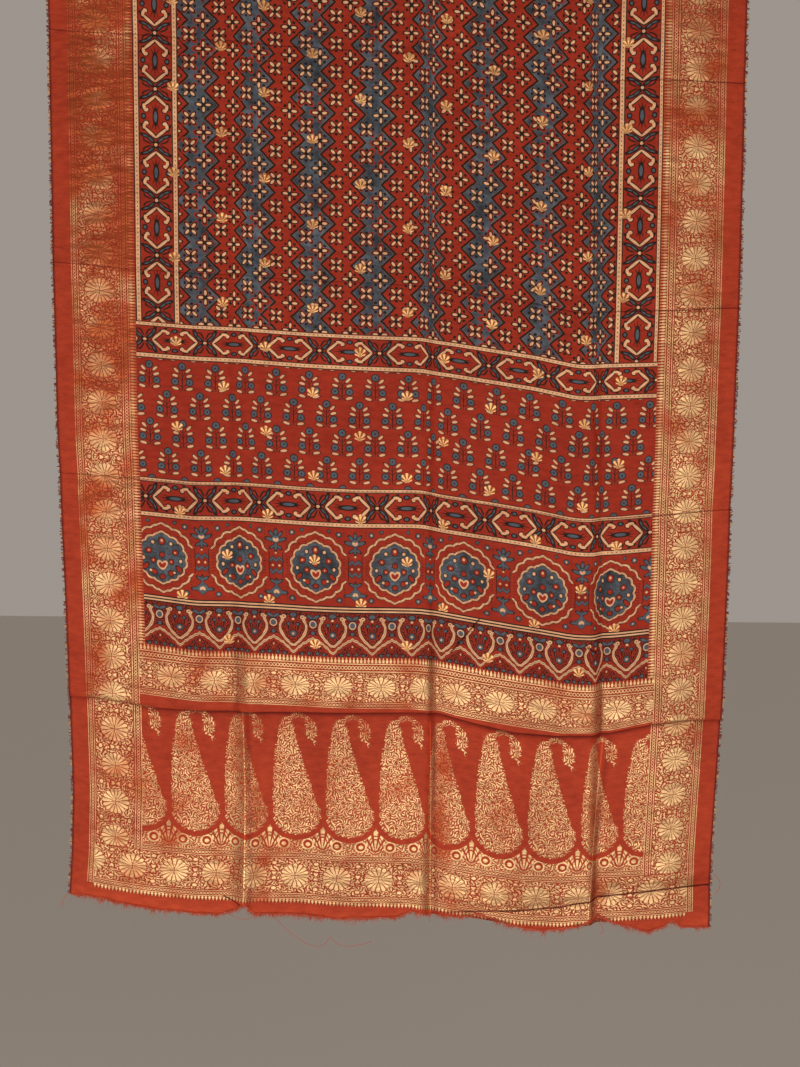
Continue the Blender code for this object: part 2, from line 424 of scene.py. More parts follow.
def hung_level(across, level):
    """Bends the grid's rows to the straight top edge, the ledge's lip and the raw end."""
    places = across[0]
    top = level_of(places, 0.0 * places)
    lip = level_of(places, reading(LEDGE, 1, places))
    end = level_of(places, reading(RAW_END, 1, places))
    near_top = np.clip(1.0 - level / STRIPE_1_END, 0.0, 1.0)
    near_end = np.clip((level - LAST_TEETH_END) / (LAST_LEVEL - LAST_TEETH_END), 0.0, 1.0)

    # The border above the lip keeps its place where it can, and the plain strip is squeezed.
    strip_shift = lip - PLAIN_STRIP_END
    border_shift = np.minimum(0.0, lip - LEAST_STRIP - CROSS_NARROW_END)
    above = np.clip(1.0 - (CROSS_NARROW_END - level) / LEDGE_BEND, 0.0, 1.0)
    between = np.clip((level - CROSS_NARROW_END) / (PLAIN_STRIP_END - CROSS_NARROW_END), 0.0, 1.0)
    below = np.clip(1.0 - (level - PLAIN_STRIP_END) / LEDGE_BEND, 0.0, 1.0)
    upper_shift = above * border_shift + between * (strip_shift - border_shift)
    shift = np.where(level < PLAIN_STRIP_END, upper_shift, below * strip_shift)
    return level + near_top * top + shift + near_end * (end - LAST_LEVEL)


def band_of(across, level):
    """The row of BANDS that each place lies in, or -1 on plain cloth."""
    band = np.full(across.shape, -1)
    for row, (_, left, right, upper, lower, *_) in enumerate(BANDS):
        band[(across > left) & (across < right) & (level > upper) & (level < lower)] = row
    return band


def band_places(band, across, level, hung):
    """Each corner's place in its band: motifs along it, and -1 to 1 from side to side."""
    left, right, upper, lower = (np.array([row[i] for row in BANDS]) for i in (1, 2, 3, 4))
    over = np.array([row[5] == "over" for row in BANDS])[band]
    first, pitch, side = (np.array([row[i] for row in BANDS])[band] for i in (6, 7, 8))
    count = (np.where(over, across, hung) - first) / pitch
    aside = (across - (left + right)[band] / 2.0) / ((right - left)[band] / 2.0)
    aside_over = (level - (upper + lower)[band] / 2.0) / ((lower - upper)[band] / 2.0)
    return np.stack([count, side * np.where(over, aside_over, aside)], axis=-1)


def put_mesh(name, corners, faces, smooth_faces=True):
    """A mesh object at the origin from arrays of corners and of four-cornered faces."""
    mesh = bpy.data.meshes.new(name)
    mesh.from_pydata(corners.reshape(-1, 3).tolist(), [], faces.reshape(-1, 4).tolist())
    piece = bpy.data.objects.new(name, mesh)
    bpy.context.scene.collection.objects.link(piece)
    if smooth_faces:
        mesh.shade_smooth()
    return piece


def normals_of(points):
    """Unit normals of a grid of points, towards the viewer's side."""
    down, right = np.gradient(points, axis=0), np.gradient(points, axis=1)
    normal = np.cross(down, right)
    return normal / np.linalg.norm(normal, axis=-1, keepdims=True)


def shell(points, thickness):
    """Closes a grid into a thin sheet: a front and a back half a thickness off it, and a rim."""
    rows, columns = points.shape[:2]
    out = normals_of(points) * thickness / 2.0
    corners = np.concatenate([(points + out).reshape(-1, 3), (points - out).reshape(-1, 3)])
    index = np.arange(rows * columns).reshape(rows, columns)
    front = np.stack(
        [index[:-1, :-1], index[1:, :-1], index[1:, 1:], index[:-1, 1:]], axis=-1
    ).reshape(-1, 4)
    back = front[:, ::-1] + rows * columns
    rim = np.concatenate([index[0], index[1:, -1], index[-1, -2::-1], index[-2:0:-1, 0]])
    after = np.roll(rim, -1)
    edge = np.stack([rim, after, after + rows * columns, rim + rows * columns], axis=-1)
    return corners, np.concatenate([front, back, edge]), len(front)


# ---------------------------------------------------------------- shader sums


class Signal:
    """A node's output that takes part in Python sums, each of which adds a Math node."""

    def __init__(self, shader, socket):
        self.shader = shader
        self.socket = socket

    def math(self, operation, *values, clamp=False):
        sockets = dict(enumerate((self, *values)))
        settings = {"operation": operation, "use_clamp": clamp}
        return self.shader.node("ShaderNodeMath", settings, sockets)

    def __add__(self, value):
        return self.math("ADD", value)

    def __mul__(self, value):
        return self.math("MULTIPLY", value)

    def __sub__(self, value):
        return self.math("SUBTRACT", value)

    def __rsub__(self, value):
        sockets = {0: value, 1: self}
        return self.shader.node("ShaderNodeMath", {"operation": "SUBTRACT"}, sockets)

    def __truediv__(self, value):
        return self.math("DIVIDE", value)

    def __abs__(self):
        return self.math("ABSOLUTE")


class Shader:
    """One material's nodes: node() adds any node, and the rest are places, shapes and colours."""

    def __init__(self, name):
        self.dyes = bpy.context.scene.cloth_dyes
        self.material = bpy.data.materials.new(name)
        self.material.use_nodes = True
        self.tree = self.material.node_tree
        self.surface = self.tree.nodes["Principled BSDF"]

    def node(self, kind, settings=None, sockets=None, output=0):
        """Adds a node: its settings, then a value or a link for each named or numbered socket."""
        made = self.tree.nodes.new(kind)
        for name, value in (settings or {}).items():
            setattr(made, name, value)
        for place, value in (sockets or {}).items():
            if isinstance(value, Signal):
                self.tree.links.new(value.socket, made.inputs[place])
            else:
                made.inputs[place].default_value = value
        return Signal(self, made.outputs[output])

    def feed(self, socket, value):
        """Sets or links one socket of the surface."""
        if isinstance(value, Signal):
            self.tree.links.new(value.socket, self.surface.inputs[socket])
        else:
            self.surface.inputs[socket].default_value = value

    def split(self, place):
        """The two parts of a place."""
        first = self.node("ShaderNodeSeparateXYZ", None, {0: place})
        return first, Signal(self, first.socket.node.outputs[1])

    def fabric(self, wander=0.0):
        """The place on the flat cloth in metres, moved a little here and there as a print is."""
        place = self.node("ShaderNodeUVMap", {"uv_map": "fabric"})
        if wander:
            sockets = {"Vector": place, "Scale": WANDER_SCALE, "Detail": 1.0}
            settings = {"noise_dimensions": "2D"}
            moved = self.node("ShaderNodeTexNoise", settings, sockets, output=1)
            spread = self.node("ShaderNodeVectorMath", {"operation": "MULTIPLY_ADD"},
                               {0: moved, 1: (wander, wander, 0.0), 2: place})
            place = self.node("ShaderNodeVectorMath", {"operation": "SUBTRACT"},
                              {0: spread, 1: (wander / 2.0, wander / 2.0, 0.0)})
        return place

    def band(self):
        """The place in a band: motifs along it, and -1 to 1 from side to side."""
        return self.split(self.node("ShaderNodeUVMap", {"uv_map": "band"}))

    def join(self, x, y):
        return self.node("ShaderNodeCombineXYZ", None, {0: x, 1: y})

    def noise(self, place, scale, detail=2.0, stretch=(1.0, 1.0, 1.0)):
        """Soft noise from 0 to 1, averaging one half."""
        if stretch != (1.0, 1.0, 1.0):
            settings = {"operation": "MULTIPLY"}
            place = self.node("ShaderNodeVectorMath", settings, {0: place, 1: stretch})
        sockets = {"Vector": place, "Scale": scale, "Detail": detail}
        return self.node("ShaderNodeTexNoise", {"noise_dimensions": "2D"}, sockets)

    def repeat(self, along, pitch, start=0.0):
        """Distance along from the nearest of a row of places, each a pitch from the last."""
        return (along - start).math("WRAP", pitch / 2.0, -pitch / 2.0)

    def oval(self, place, x, y, half_wide, half_high, turn=0.0):
        """Distance outside an oval's edge, below zero inside it."""
        if turn:
            sockets = {
                "Vector": place,
                "Location": (x, y, 0.0),
                "Rotation": (0.0, 0.0, math.radians(turn)),
                "Scale": (half_wide, half_high, 1.0),
            }
            placed = self.node("ShaderNodeMapping", {"vector_type": "TEXTURE"}, sockets)
        else:
            sockets = {
                0: place,
                1: (1.0 / half_wide, 1.0 / half_high, 0.0),
                2: (-x / half_wide, -y / half_high, 0.0),
            }
            placed = self.node("ShaderNodeVectorMath", {"operation": "MULTIPLY_ADD"}, sockets)
        size = self.node("ShaderNodeVectorMath", {"operation": "LENGTH"}, {0: placed}, output=1)
        least = min(half_wide, half_high)
        return size.math("MULTIPLY_ADD", least, -least)

    def stroke(self, place, x, y, half_long, turn):
        """Distance from a straight line."""
        sockets = {"Vector": place, "Location": (x, y, 0.0),
                   "Rotation": (0.0, 0.0, math.radians(turn))}
        along, aside = self.split(
            self.node("ShaderNodeMapping", {"vector_type": "TEXTURE"}, sockets))
        return (abs(along) - half_long).math("MAXIMUM", abs(aside))

    def nearest(self, *distances):
        """The least of several distances: their shapes joined."""
        least = distances[0]
        for distance in distances[1:]:
            least = least.math("MINIMUM", distance)
        return least

    def inside(self, distance, grown=0.0, soft=0.0006):
        """1 inside a shape and 0 outside it, the shape grown by a distance."""
        return distance.math("MULTIPLY_ADD", -1.0 / soft, 0.5 + grown / soft, clamp=True)

    def line(self, distance, half_wide, soft=0.0006):
        """1 on a shape's edge line."""
        return self.inside(abs(distance), half_wide, soft)

    def mix(self, factor, under, over, blend_type="MIX"):
        """One colour laid over another; a name stands for the dye of that name."""
        under, over = (getattr(self.dyes, colour) if isinstance(colour, str) else colour
                       for colour in (under, over))
        settings = {"data_type": "RGBA", "blend_type": blend_type}
        return self.node("ShaderNodeMix", settings, {0: factor, 6: under, 7: over}, output=2)

    def lay(self, colour, dye, distance, *sizes):
        """A dye laid over a colour inside a shape."""
        return self.mix(self.inside(distance, *sizes), colour, dye)

    def ovals(self, place, *rows):
        """The joined shape of several ovals about one place."""
        return self.nearest(*[self.oval(place, *row) for row in rows])


def rgb(red, green, blue):
    """A screen colour, 0 to 255, as a linear shader colour."""
    levels = [c / 255.0 for c in (red, green, blue)]
    return (*[c / 12.92 if c <= 0.04045 else ((c + 0.055) / 1.055) ** 2.4 for c in levels], 1.0)


WANDER_SCALE = 90.0

# The finish of the cloth, and how much smoother and more metallic its gold thread is
CLOTH_SPECULAR, CLOTH_ROUGHNESS = 0.14, 0.70
GOLD_SMOOTHER, GOLD_METAL = 0.24, 0.65
BUMP_STRENGTH, BUMP_DISTANCE = 0.4, 0.0004
SHADE_WARMTH = 1.35  # how much redder the cloth's shaded places are
ROSETTE_PETALS = 16


# ---------------------------------------------------------------- the cloth's patterns

# The zigzag field: the first boundary's left corner, pitch across and down, swing to the right
ZIGZAG_FIRST, ZIGZAG_LEVEL = 0.1721, 0.0480
ZIGZAG_PITCH, ZIGZAG_RISE, ZIGZAG_SWING = 0.0421, 0.0376, 0.0196
FLOWER_PLACE = 0.0210

# The bushes: top flower of the first, pitch across and down, shift of every other row
BUSH_ACROSS, BUSH_LEVEL, BUSH_PITCH, BUSH_RISE, BUSH_SHIFT = 0.1320, 0.5415, 0.0467, 0.0402, 0.0245

# The medallions' and the arches' first centre, pitch and level
MEDALLION_ACROSS, MEDALLION_LEVEL, MEDALLION_PITCH = 0.1430, 0.8150, 0.1145
ARCH_ACROSS, ARCH_PITCH = 0.1655, 0.0576

# The woven gold sprigs: first centre, pitch across and down
SPRIG_ACROSS, SPRIG_LEVEL, SPRIG_PITCH, SPRIG_RISE = 0.1705, 0.5060, 0.0667, 0.1195
SPRIG_CLOSER = 0.0284  # share by which the rows above the first level lie closer

# The natural size of each banded pattern: its pitch, and half its width
ARROW_SIZE = (0.0755, 0.0219)
ROSETTE_SIZE = (0.0522, 0.0290)
STRIPE_SIZE = (0.0063, 0.0046)
TEETH_SIZE = (0.0046, 0.0045)
NARROW_SIZE = (0.0044, 0.0053)

# The paisleys: base centre of the first, their pitch, and their widest and narrowest levels
PAISLEY_ACROSS, PAISLEY_PITCH = 0.1845, 0.0797
PAISLEY_WIDEST, PAISLEY_NECK = 1.1750, 1.0520


def dyed(shader, place, colour):
    """A dye as it took: stronger and weaker in soft patches, with darker clouds."""
    shade = shader.noise(place, 30.0, 4.0).math("MULTIPLY_ADD", 1.9, -0.10)
    cloud = shader.noise(place, 130.0, 3.0).math("MULTIPLY_ADD", 1.2, 0.35)
    shade = (shade * cloud).math("MAXIMUM", 0.30).math("MINIMUM", 1.35)
    grey = shader.node("ShaderNodeCombineXYZ", None, {0: shade, 1: shade, 2: shade})
    return shader.mix(1.0, colour, grey, "MULTIPLY")


def four_petals(shader, x, y):
    """A flower of four petals about 0, 0: its petals, centre and the specks between them."""
    x, y = abs(x), abs(y)
    place = shader.join(x.math("MAXIMUM", y), x.math("MINIMUM", y))
    return (
        shader.oval(place, 0.0064, 0.0, 0.0036, 0.0018),
        shader.oval(place, 0.0, 0.0, 0.0016, 0.0016),
        shader.oval(place, 0.0066, 0.0060, 0.0005, 0.0005),
    )


def paint_zigzags(shader):
    """Indigo and red zigzags down the field, with a flower in every bend."""
    place = shader.fabric(0.0016)
    across, level = shader.split(place)
    swing = (level - ZIGZAG_LEVEL).math("PINGPONG", ZIGZAG_RISE / 2.0)
    off = across - swing * (ZIGZAG_SWING / (ZIGZAG_RISE / 2.0)) - ZIGZAG_FIRST
    edge = abs(off.math("WRAP", ZIGZAG_PITCH / 2.0, -ZIGZAG_PITCH / 2.0))
    blue = off.math("WRAP", 2.0 * ZIGZAG_PITCH, 0.0).math("LESS_THAN", ZIGZAG_PITCH)

    x = shader.repeat(across, ZIGZAG_PITCH, ZIGZAG_FIRST + FLOWER_PLACE)
    y = shader.repeat(level, ZIGZAG_RISE, ZIGZAG_LEVEL)
    turned = math.sqrt(0.5)
    crossed = four_petals(shader, (x + y) * turned, (x - y) * turned)
    x = shader.repeat(across, ZIGZAG_PITCH, ZIGZAG_FIRST + ZIGZAG_SWING + FLOWER_PLACE)
    y = shader.repeat(level, ZIGZAG_RISE, ZIGZAG_LEVEL + ZIGZAG_RISE / 2.0)
    upright = four_petals(shader, x, y)
    petals, heart, specks = (shader.nearest(a, b) for a, b in zip(crossed, upright))

    # Where the red block was laid a little off, a red edge shows beside the petals.
    slip = shader.noise(place, 14.0, 1.0).math("MULTIPLY_ADD", 0.0050, -0.0005)
    colour = shader.mix(blue, "print_red", dyed(shader, place, "indigo"))
    colour = shader.mix(shader.inside(edge, 0.0030) * blue * 0.35, colour, "pale_line")
    colour = shader.lay(colour, "black", edge, 0.0019)
    colour = shader.mix(shader.inside(petals - slip) * blue, colour, "print_red")
    colour = shader.lay(colour, "black", shader.nearest(petals, specks), 0.0013)
    colour = shader.lay(colour, "cream", petals)
    return shader.lay(colour, "black", heart), None


def paint_stripe(shader):
    """A cream stripe with black edges and a row of black dots."""
    count, share = shader.band()
    pitch, half = STRIPE_SIZE
    aside = share * half
    along = shader.repeat(count, 1.0) * pitch
    dot = shader.oval(shader.join(along, aside), 0.0, 0.0, 0.0010, 0.0007)
    colour = shader.mix(shader.inside(abs(aside) - half, -0.0019), "black", "cream")
    colour = shader.mix(shader.inside(abs(aside) - half, -0.0004), "print_red", colour)
    return shader.lay(colour, "black", dot), None


def paint_arrows(shader):
    """Pairs of cream chevrons that face a blue lozenge, and a leafy cross between pairs."""
    count, share = shader.band()
    pitch, half = ARROW_SIZE
    place = shader.join(abs(shader.repeat(count, 1.0)) * pitch, abs(share) * half)
    chevrons = shader.ovals(place,
        (0.0215, 0.0078, 0.0108, 0.0019, -50.0), (0.0128, 0.0157, 0.0042, 0.0021, 10.0),
        (0.0090, 0.0128, 0.0026, 0.0030, 20.0),
    )
    curl = shader.oval(place, 0.0125, 0.0118, 0.0018, 0.0018)
    dot = shader.oval(place, pitch / 2.0, 0.0, 0.0022, 0.0022)
    lozenge = shader.oval(place, 0.0, 0.0, 0.0085, 0.0028)
    side_dots = shader.oval(place, 0.0, 0.0165, 0.0028, 0.0024)
    leaves = shader.ovals(place,
        (0.0305, 0.0072, 0.0058, 0.0015, -50.0), (0.0262, 0.0143, 0.0050, 0.0014, -72.0),
    )
    hooks = shader.ovals(place,
        (0.0345, 0.0120, 0.0066, 0.0011, -68.0), (0.0310, 0.0165, 0.0034, 0.0010, -35.0),
        (0.0105, 0.0028, 0.0062, 0.0006, 22.0), (0.0120, 0.0, 0.0064, 0.0007),
    )
    blue = shader.nearest(lozenge, side_dots, leaves)
    dark = shader.nearest(hooks, shader.nearest(blue, chevrons) - 0.0014, dot - 0.0016)
    colour = shader.mix(shader.inside(dark), "print_red", "black")
    colour = shader.lay(colour, "indigo", blue, -0.0004)
    colour = shader.lay(colour, "cream", shader.nearest(chevrons, dot))
    return shader.lay(colour, "print_red", curl), None


def paint_bushes(shader):
    """Rows of little bushes: three blue flowers, cream leaves and a black stem on red."""
    place = shader.fabric(0.0012)
    across, level = shader.split(place)
    low, high = -0.0070, BUSH_RISE - 0.0070
    down = (level - BUSH_LEVEL).math("WRAP", high, low)
    row = (level - down - BUSH_LEVEL) / BUSH_RISE
    shift = abs(row.math("WRAP", 1.5, -0.5)) * BUSH_SHIFT
    x = abs(shader.repeat(across - shift, BUSH_PITCH, BUSH_ACROSS))
    place = shader.join(x, down)
    leaves = shader.ovals(place,
        (0.0083, 0.0053, 0.0042, 0.0017, -42.0), (0.0100, 0.0128, 0.0042, 0.0018, -15.0),
        (0.0100, 0.0305, 0.0048, 0.0018, -12.0),
    )
    flowers = shader.ovals(place,
        (0.0, 0.0, 0.0046, 0.0046), (0.0102, 0.0215, 0.0044, 0.0044),
    )
    hearts = shader.ovals(place,
        (0.0, 0.0, 0.0012, 0.0012), (0.0102, 0.0215, 0.0012, 0.0012),
    )
    stems = shader.ovals(place,
        (0.0, 0.0195, 0.0007, 0.0165), (0.0040, 0.0090, 0.0050, 0.0005, -55.0),
        (0.0045, 0.0160, 0.0055, 0.0005, -38.0), (0.0048, 0.0255, 0.0058, 0.0005, -40.0),
        (0.0055, 0.0325, 0.0055, 0.0005, -15.0),
    )
    dark = shader.nearest(leaves - 0.0007, flowers - 0.0012, stems)
    colour = shader.mix(shader.inside(dark), "print_red", "black")
    colour = shader.lay(colour, "indigo", flowers)
    colour = shader.lay(colour, "cream", leaves)
    return shader.lay(colour, "black", hearts), None


def scalloped(shader, place, half_wide, half_high, lobes, depth, point):
    """Distance outside an oval whose edge has round lobes, and points at its top and foot."""
    x, y = shader.split(place)
    oval = shader.oval(place, 0.0, 0.0, half_wide, half_high)
    angle = x.math("ARCTAN2", abs(y))
    lobe = abs((angle * (lobes / 2.0)).math("SINE"))
    peak = shader.inside(abs(x), 0.0, 0.012) * point * 2.0
    return oval - lobe * depth - peak


def paint_medallions(shader):
    """Scalloped indigo medallions in cream frames, with a flowered column between two."""
    place = shader.fabric(0.0012)
    across, level = shader.split(place)
    x = abs(shader.repeat(across, MEDALLION_PITCH, MEDALLION_ACROSS))
    y = level - MEDALLION_LEVEL
    centred = shader.join(x, y)
    ring = scalloped(shader, centred, 0.0338, 0.0322, 16.0, 0.0022, 0.0048)
    frame = scalloped(shader, centred, 0.0448, 0.0440, 18.0, 0.0024, 0.0052)
    open_sides = shader.inside(abs(y), 0.0175)
    column = (x - (MEDALLION_PITCH / 2.0)) * -1.0
    beside = shader.join(column, y)

    # The florets of the disc, its heart, and the column's lozenges, chevrons and flowers
    florets = shader.ovals(centred,
        (0.0, -0.0235, 0.0042, 0.0050), (0.0, -0.0040, 0.0034, 0.0034),
        (0.0130, 0.0045, 0.0034, 0.0034), (0.0190, -0.0090, 0.0040, 0.0036),
        (0.0240, 0.0140, 0.0050, 0.0028, 50.0), (0.0120, 0.0210, 0.0034, 0.0034),
        (0.0, 0.0270, 0.0036, 0.0030),
    )
    eyes = shader.ovals(centred,
        (0.0, -0.0245, 0.0018, 0.0022), (0.0130, -0.0210, 0.0022, 0.0024),
        (0.0130, 0.0045, 0.0010, 0.0010), (0.0190, -0.0090, 0.0012, 0.0012),
        (0.0265, 0.0025, 0.0020, 0.0024), (0.0170, 0.0195, 0.0018, 0.0018),
    )
    heart = shader.oval(centred, 0.0022, 0.0105, 0.0062, 0.0034, -58.0)
    lozenges = abs(column - 0.0047) + abs(y - 0.0010) - 0.0048
    chevron = abs(abs(y - 0.0010) - 0.0105 + abs(column - 0.0047) * 0.9) - 0.0020
    chevron = chevron.math("MAXIMUM", column - 0.0092)
    top_flower = shader.ovals(beside,
        (0.0, -0.0355, 0.0056, 0.0050), (0.0085, -0.0350, 0.0056, 0.0024, -20.0),
        (0.0060, -0.0425, 0.0042, 0.0020, -50.0), (0.0, -0.0450, 0.0022, 0.0040),
        (0.0045, -0.0245, 0.0040, 0.0017, 30.0), (0.0, -0.0255, 0.0018, 0.0062),
    )
    foot_flower = shader.nearest(
        abs(column) + abs(y - 0.0375) - 0.0098,
        shader.oval(beside, 0.0100, 0.0385, 0.0052, 0.0020),
        shader.oval(beside, 0.0045, 0.0235, 0.0040, 0.0017, -30.0),
        shader.oval(beside, 0.0, 0.0265, 0.0017, 0.0056),
    )
    side_florets = shader.ovals(beside,
        (0.0235, -0.0470, 0.0036, 0.0032), (0.0380, -0.0515, 0.0020, 0.0020),
        (0.0230, 0.0455, 0.0036, 0.0030),
    )
    flower_eyes = shader.ovals(beside,
        (0.0018, -0.0345, 0.0020, 0.0028, 40.0), (0.0016, 0.0375, 0.0020, 0.0030, -40.0),
        (0.0, -0.0165, 0.0014, 0.0014), (0.0230, 0.0455, 0.0010, 0.0010),
        (0.0235, -0.0470, 0.0014, 0.0014), (0.0047, 0.0010, 0.0016, 0.0016),
    )
    specks = shader.inside(abs(column - 0.0158), 0.0006) * (
        shader.inside(abs(shader.repeat(y, 0.0042)), 0.0006))

    disc = dyed(shader, place, "indigo")
    blue = shader.nearest(top_flower, foot_flower, side_florets, chevron)
    upright = shader.inside(abs(column - 0.0098), 0.0005) * open_sides
    colour = shader.mix((specks + upright).math("MINIMUM", 1.0), "print_red", "black")
    colour = shader.lay(colour, "black", shader.nearest(blue, lozenges) - 0.0009)
    colour = shader.lay(colour, "indigo", blue)
    colour = shader.lay(colour, "print_red", lozenges)
    rims = shader.nearest(abs(ring) - 0.0013, abs(frame) - 0.0014 + open_sides * 0.02)
    colour = shader.lay(colour, "black", rims, 0.0009)
    colour = shader.lay(colour, "cream", rims)
    ticks = shader.noise(place, 330.0, 0.0).math("GREATER_THAN", 0.50) * 0.8
    thread = shader.line(shader.nearest(abs(ring + 0.0002), abs(frame) + open_sides * 0.02), 0.0003)
    colour = shader.mix(thread * ticks, colour, "black")
    beads = shader.inside(abs(ring - 0.0048) + abs(shader.repeat(y, 0.0040)) - 0.0009)
    colour = shader.mix(beads * 0.8, colour, "black")
    colour = shader.mix(shader.inside(ring, -0.0022), colour, disc)
    stems = leafy(shader, centred, 0.0125, 6.0) * shader.inside(ring, -0.0030)
    colour = shader.mix(stems * 0.35, colour, "black")
    colour = shader.mix(shader.inside(ring, -0.0022) * shader.inside(
        shader.nearest(florets, eyes), 0.0011), colour, "black")
    colour = shader.lay(colour, "print_red", florets)
    colour = shader.lay(colour, "cream", shader.nearest(eyes, flower_eyes))
    colour = shader.lay(colour, "cream", heart, 0.0008)
    return shader.lay(colour, "print_red", heart, -0.0010), None


def paint_lines(shader):
    """Cream and black lines."""
    _, share = shader.band()
    stripe = abs(abs(share) - 0.42)
    return shader.mix(shader.inside(stripe - 0.22, 0.0, 0.08), "black", "cream"), None


def paint_arches(shader):
    """A row of cream pointed bells inside an outline of pointed arches, with small leaves."""
    place = shader.fabric(0.0012)
    across, level = shader.split(place)
    x = abs(shader.repeat(across, ARCH_PITCH, ARCH_ACROSS))
    share = x / (ARCH_PITCH / 2.0)
    lobe = abs((x * 430.0).math("SINE"))
    outline = level - (1.0 - share) * (1.0 - share * 0.45) * 0.0215 - 0.9170 - lobe * 0.0012
    centred, low = shader.join(x, level), level - 0.9010
    width = shader.inside(abs(low + 0.0100), 0.0, 0.0140) * -0.0075 + 0.0185
    foot = (low.math("MAXIMUM", 0.0) / 0.0270).math("MINIMUM", 1.0)
    wall = abs(x - width * (1.0 - foot * foot) - lobe * 0.0008)
    wall = (wall * (1.0 - foot * 0.40) - 0.0013).math("MAXIMUM", abs(low - 0.0065) - 0.0205)
    wall = shader.nearest(wall, shader.oval(centred, 0.0135, 0.8870, 0.0026, 0.0022))
    between = shader.join(x * -1.0 + ARCH_PITCH / 2.0, level)
    rounds = shader.nearest(
        shader.oval(between, 0.0, 0.8960, 0.0058, 0.0056),
        shader.oval(between, 0.0045, 0.8860, 0.0048, 0.0020, -25.0),
        shader.oval(centred, 0.0, 0.9110, 0.0046, 0.0042),
        shader.oval(centred, 0.0065, 0.8970, 0.0022, 0.0020),
        shader.oval(centred, 0.0, 0.8840, 0.0046, 0.0030),
        shader.oval(between, 0.0, 0.9090, 0.0028, 0.0026),
        shader.oval(between, 0.0060, 0.9385, 0.0022, 0.0020),
        shader.oval(between, 0.0160, 0.9395, 0.0022, 0.0018),
    )
    rings = abs(shader.oval(between, 0.0, 0.8965, 0.0046, 0.0048)) - 0.0007
    eyes = shader.nearest(
        rings,
        shader.oval(centred, 0.0, 0.9110, 0.0016, 0.0016),
        shader.oval(centred, 0.0, 0.8900, 0.0020, 0.0016),
        shader.oval(between, 0.0, 0.9270, 0.0012, 0.0014),
    )
    leaves = leafy(shader, shader.join(x, level), 0.0100, 7.0)
    colour = shader.mix(leaves, "print_red", "black")
    clear = shader.nearest(wall, abs(outline + 0.0020) - 0.0045)
    colour = shader.lay(colour, "print_red", clear, 0.0016)
    colour = shader.lay(colour, "black", rounds, 0.0010)
    colour = shader.lay(colour, "indigo", rounds)
    colour = shader.lay(colour, "cream", eyes)
    rims = shader.nearest(wall, abs(outline + 0.0012) - 0.0015)
    colour = shader.lay(colour, "black", rims, 0.0013)
    colour = shader.lay(colour, "cream", rims, 0.0005)
    return shader.mix(shader.inside(rims, -0.0010) * 0.7, colour, "black"), None


def beside_ridges(shader, right):
    """Distance from the lines that run beside the folds' ridges, a little to their right."""
    across, level = shader.split(shader.fabric())
    return shader.nearest(*[abs(across - (level - RIDGE_LEVEL) * gained - (at + right))
                            for at, gained in RIDGES])


def woven(shader, gold, ground=None):
    """Gold thread on the red ground, from a mask of where the gold is, with painted sheen: painted
    brighter in soft patches and towards the bottom and the right, and painted dull in the shade to
    the right of the folds' ridges.
    """
    across, level = shader.split(shader.fabric())
    # Painted sheen: soft patches and a rise towards the bottom and the right stand in for the
    # light's highlight on the gold.
    painted_sheen = shader.noise(shader.fabric(), 17.0, 3.0).math("MULTIPLY_ADD", 2.7, -1.50)
    # Painted shade: the gold is painted dull to the right of each ridge below the ledge.
    dull = shader.inside(beside_ridges(shader, SHADED_GOLD_BESIDE), 0.0180, 0.0140)
    dull = dull * shader.inside(level * -1.0, -RIDGE_LEVEL, 0.012) * 0.55
    painted_sheen = (painted_sheen - dull + level * 0.74 + across * 0.62).math("MAXIMUM", 0.0)
    painted_sheen = painted_sheen.math("MINIMUM", 1.0)
    thread = shader.mix(painted_sheen, "dull_gold", "gold")
    return shader.mix(gold, ground or "zari_ground", thread), gold


def leafy(shader, place, size, leaves):
    """Curled fans of leaves about scattered centres: 1 on a leaf, 0 between leaves."""
    settings = {"voronoi_dimensions": "2D"}
    sockets = {"Vector": place, "Scale": 1.0 / size, "Randomness": 0.8}
    centre = shader.node("ShaderNodeTexVoronoi", settings, sockets, output=2)
    out = shader.node("ShaderNodeVectorMath", {"operation": "SUBTRACT"}, {0: place, 1: centre})
    x, y = shader.split(out)
    away = shader.node("ShaderNodeVectorMath", {"operation": "LENGTH"}, {0: out}, output=1)
    turn = y.math("ARCTAN2", x) + away * (1.6 / size)
    leaf = abs((turn * (leaves / 2.0)).math("SINE")).math("MULTIPLY_ADD", 3.0, -1.35, clamp=True)
    broken = shader.noise(place, 3.8 / size, 1.0).math("MULTIPLY_ADD", 7.0, -2.2, clamp=True)
    return leaf * broken * shader.inside(away * -1.0, size * -0.10, size * 0.10)


def paint_teeth(shader):
    """A row of gold drops, each rounded at its root and drawn out to its tip."""
    count, share = shader.band()
    pitch, half = TEETH_SIZE
    place = shader.join(shader.repeat(count, 1.0) * pitch, share * half)
    drop = shader.ovals(place,
        (0.0, -0.0014, 0.0016, 0.0030), (0.0, 0.0010, 0.0008, 0.0034),
    )
    return woven(shader, shader.inside(drop))


def paint_narrow(shader):
    """A gold line down each side and a chain of small eyes between them."""
    count, share = shader.band()
    pitch, half = NARROW_SIZE
    along = shader.repeat(count, 1.0) * pitch
    across = abs(share) * half
    lines = abs(across - half * 0.84) - 0.0006
    eye = abs(shader.oval(shader.join(along, share * half), 0.0, 0.0, 0.0018, 0.0018)) - 0.0005
    return woven(shader, shader.inside(shader.nearest(lines, eye)))


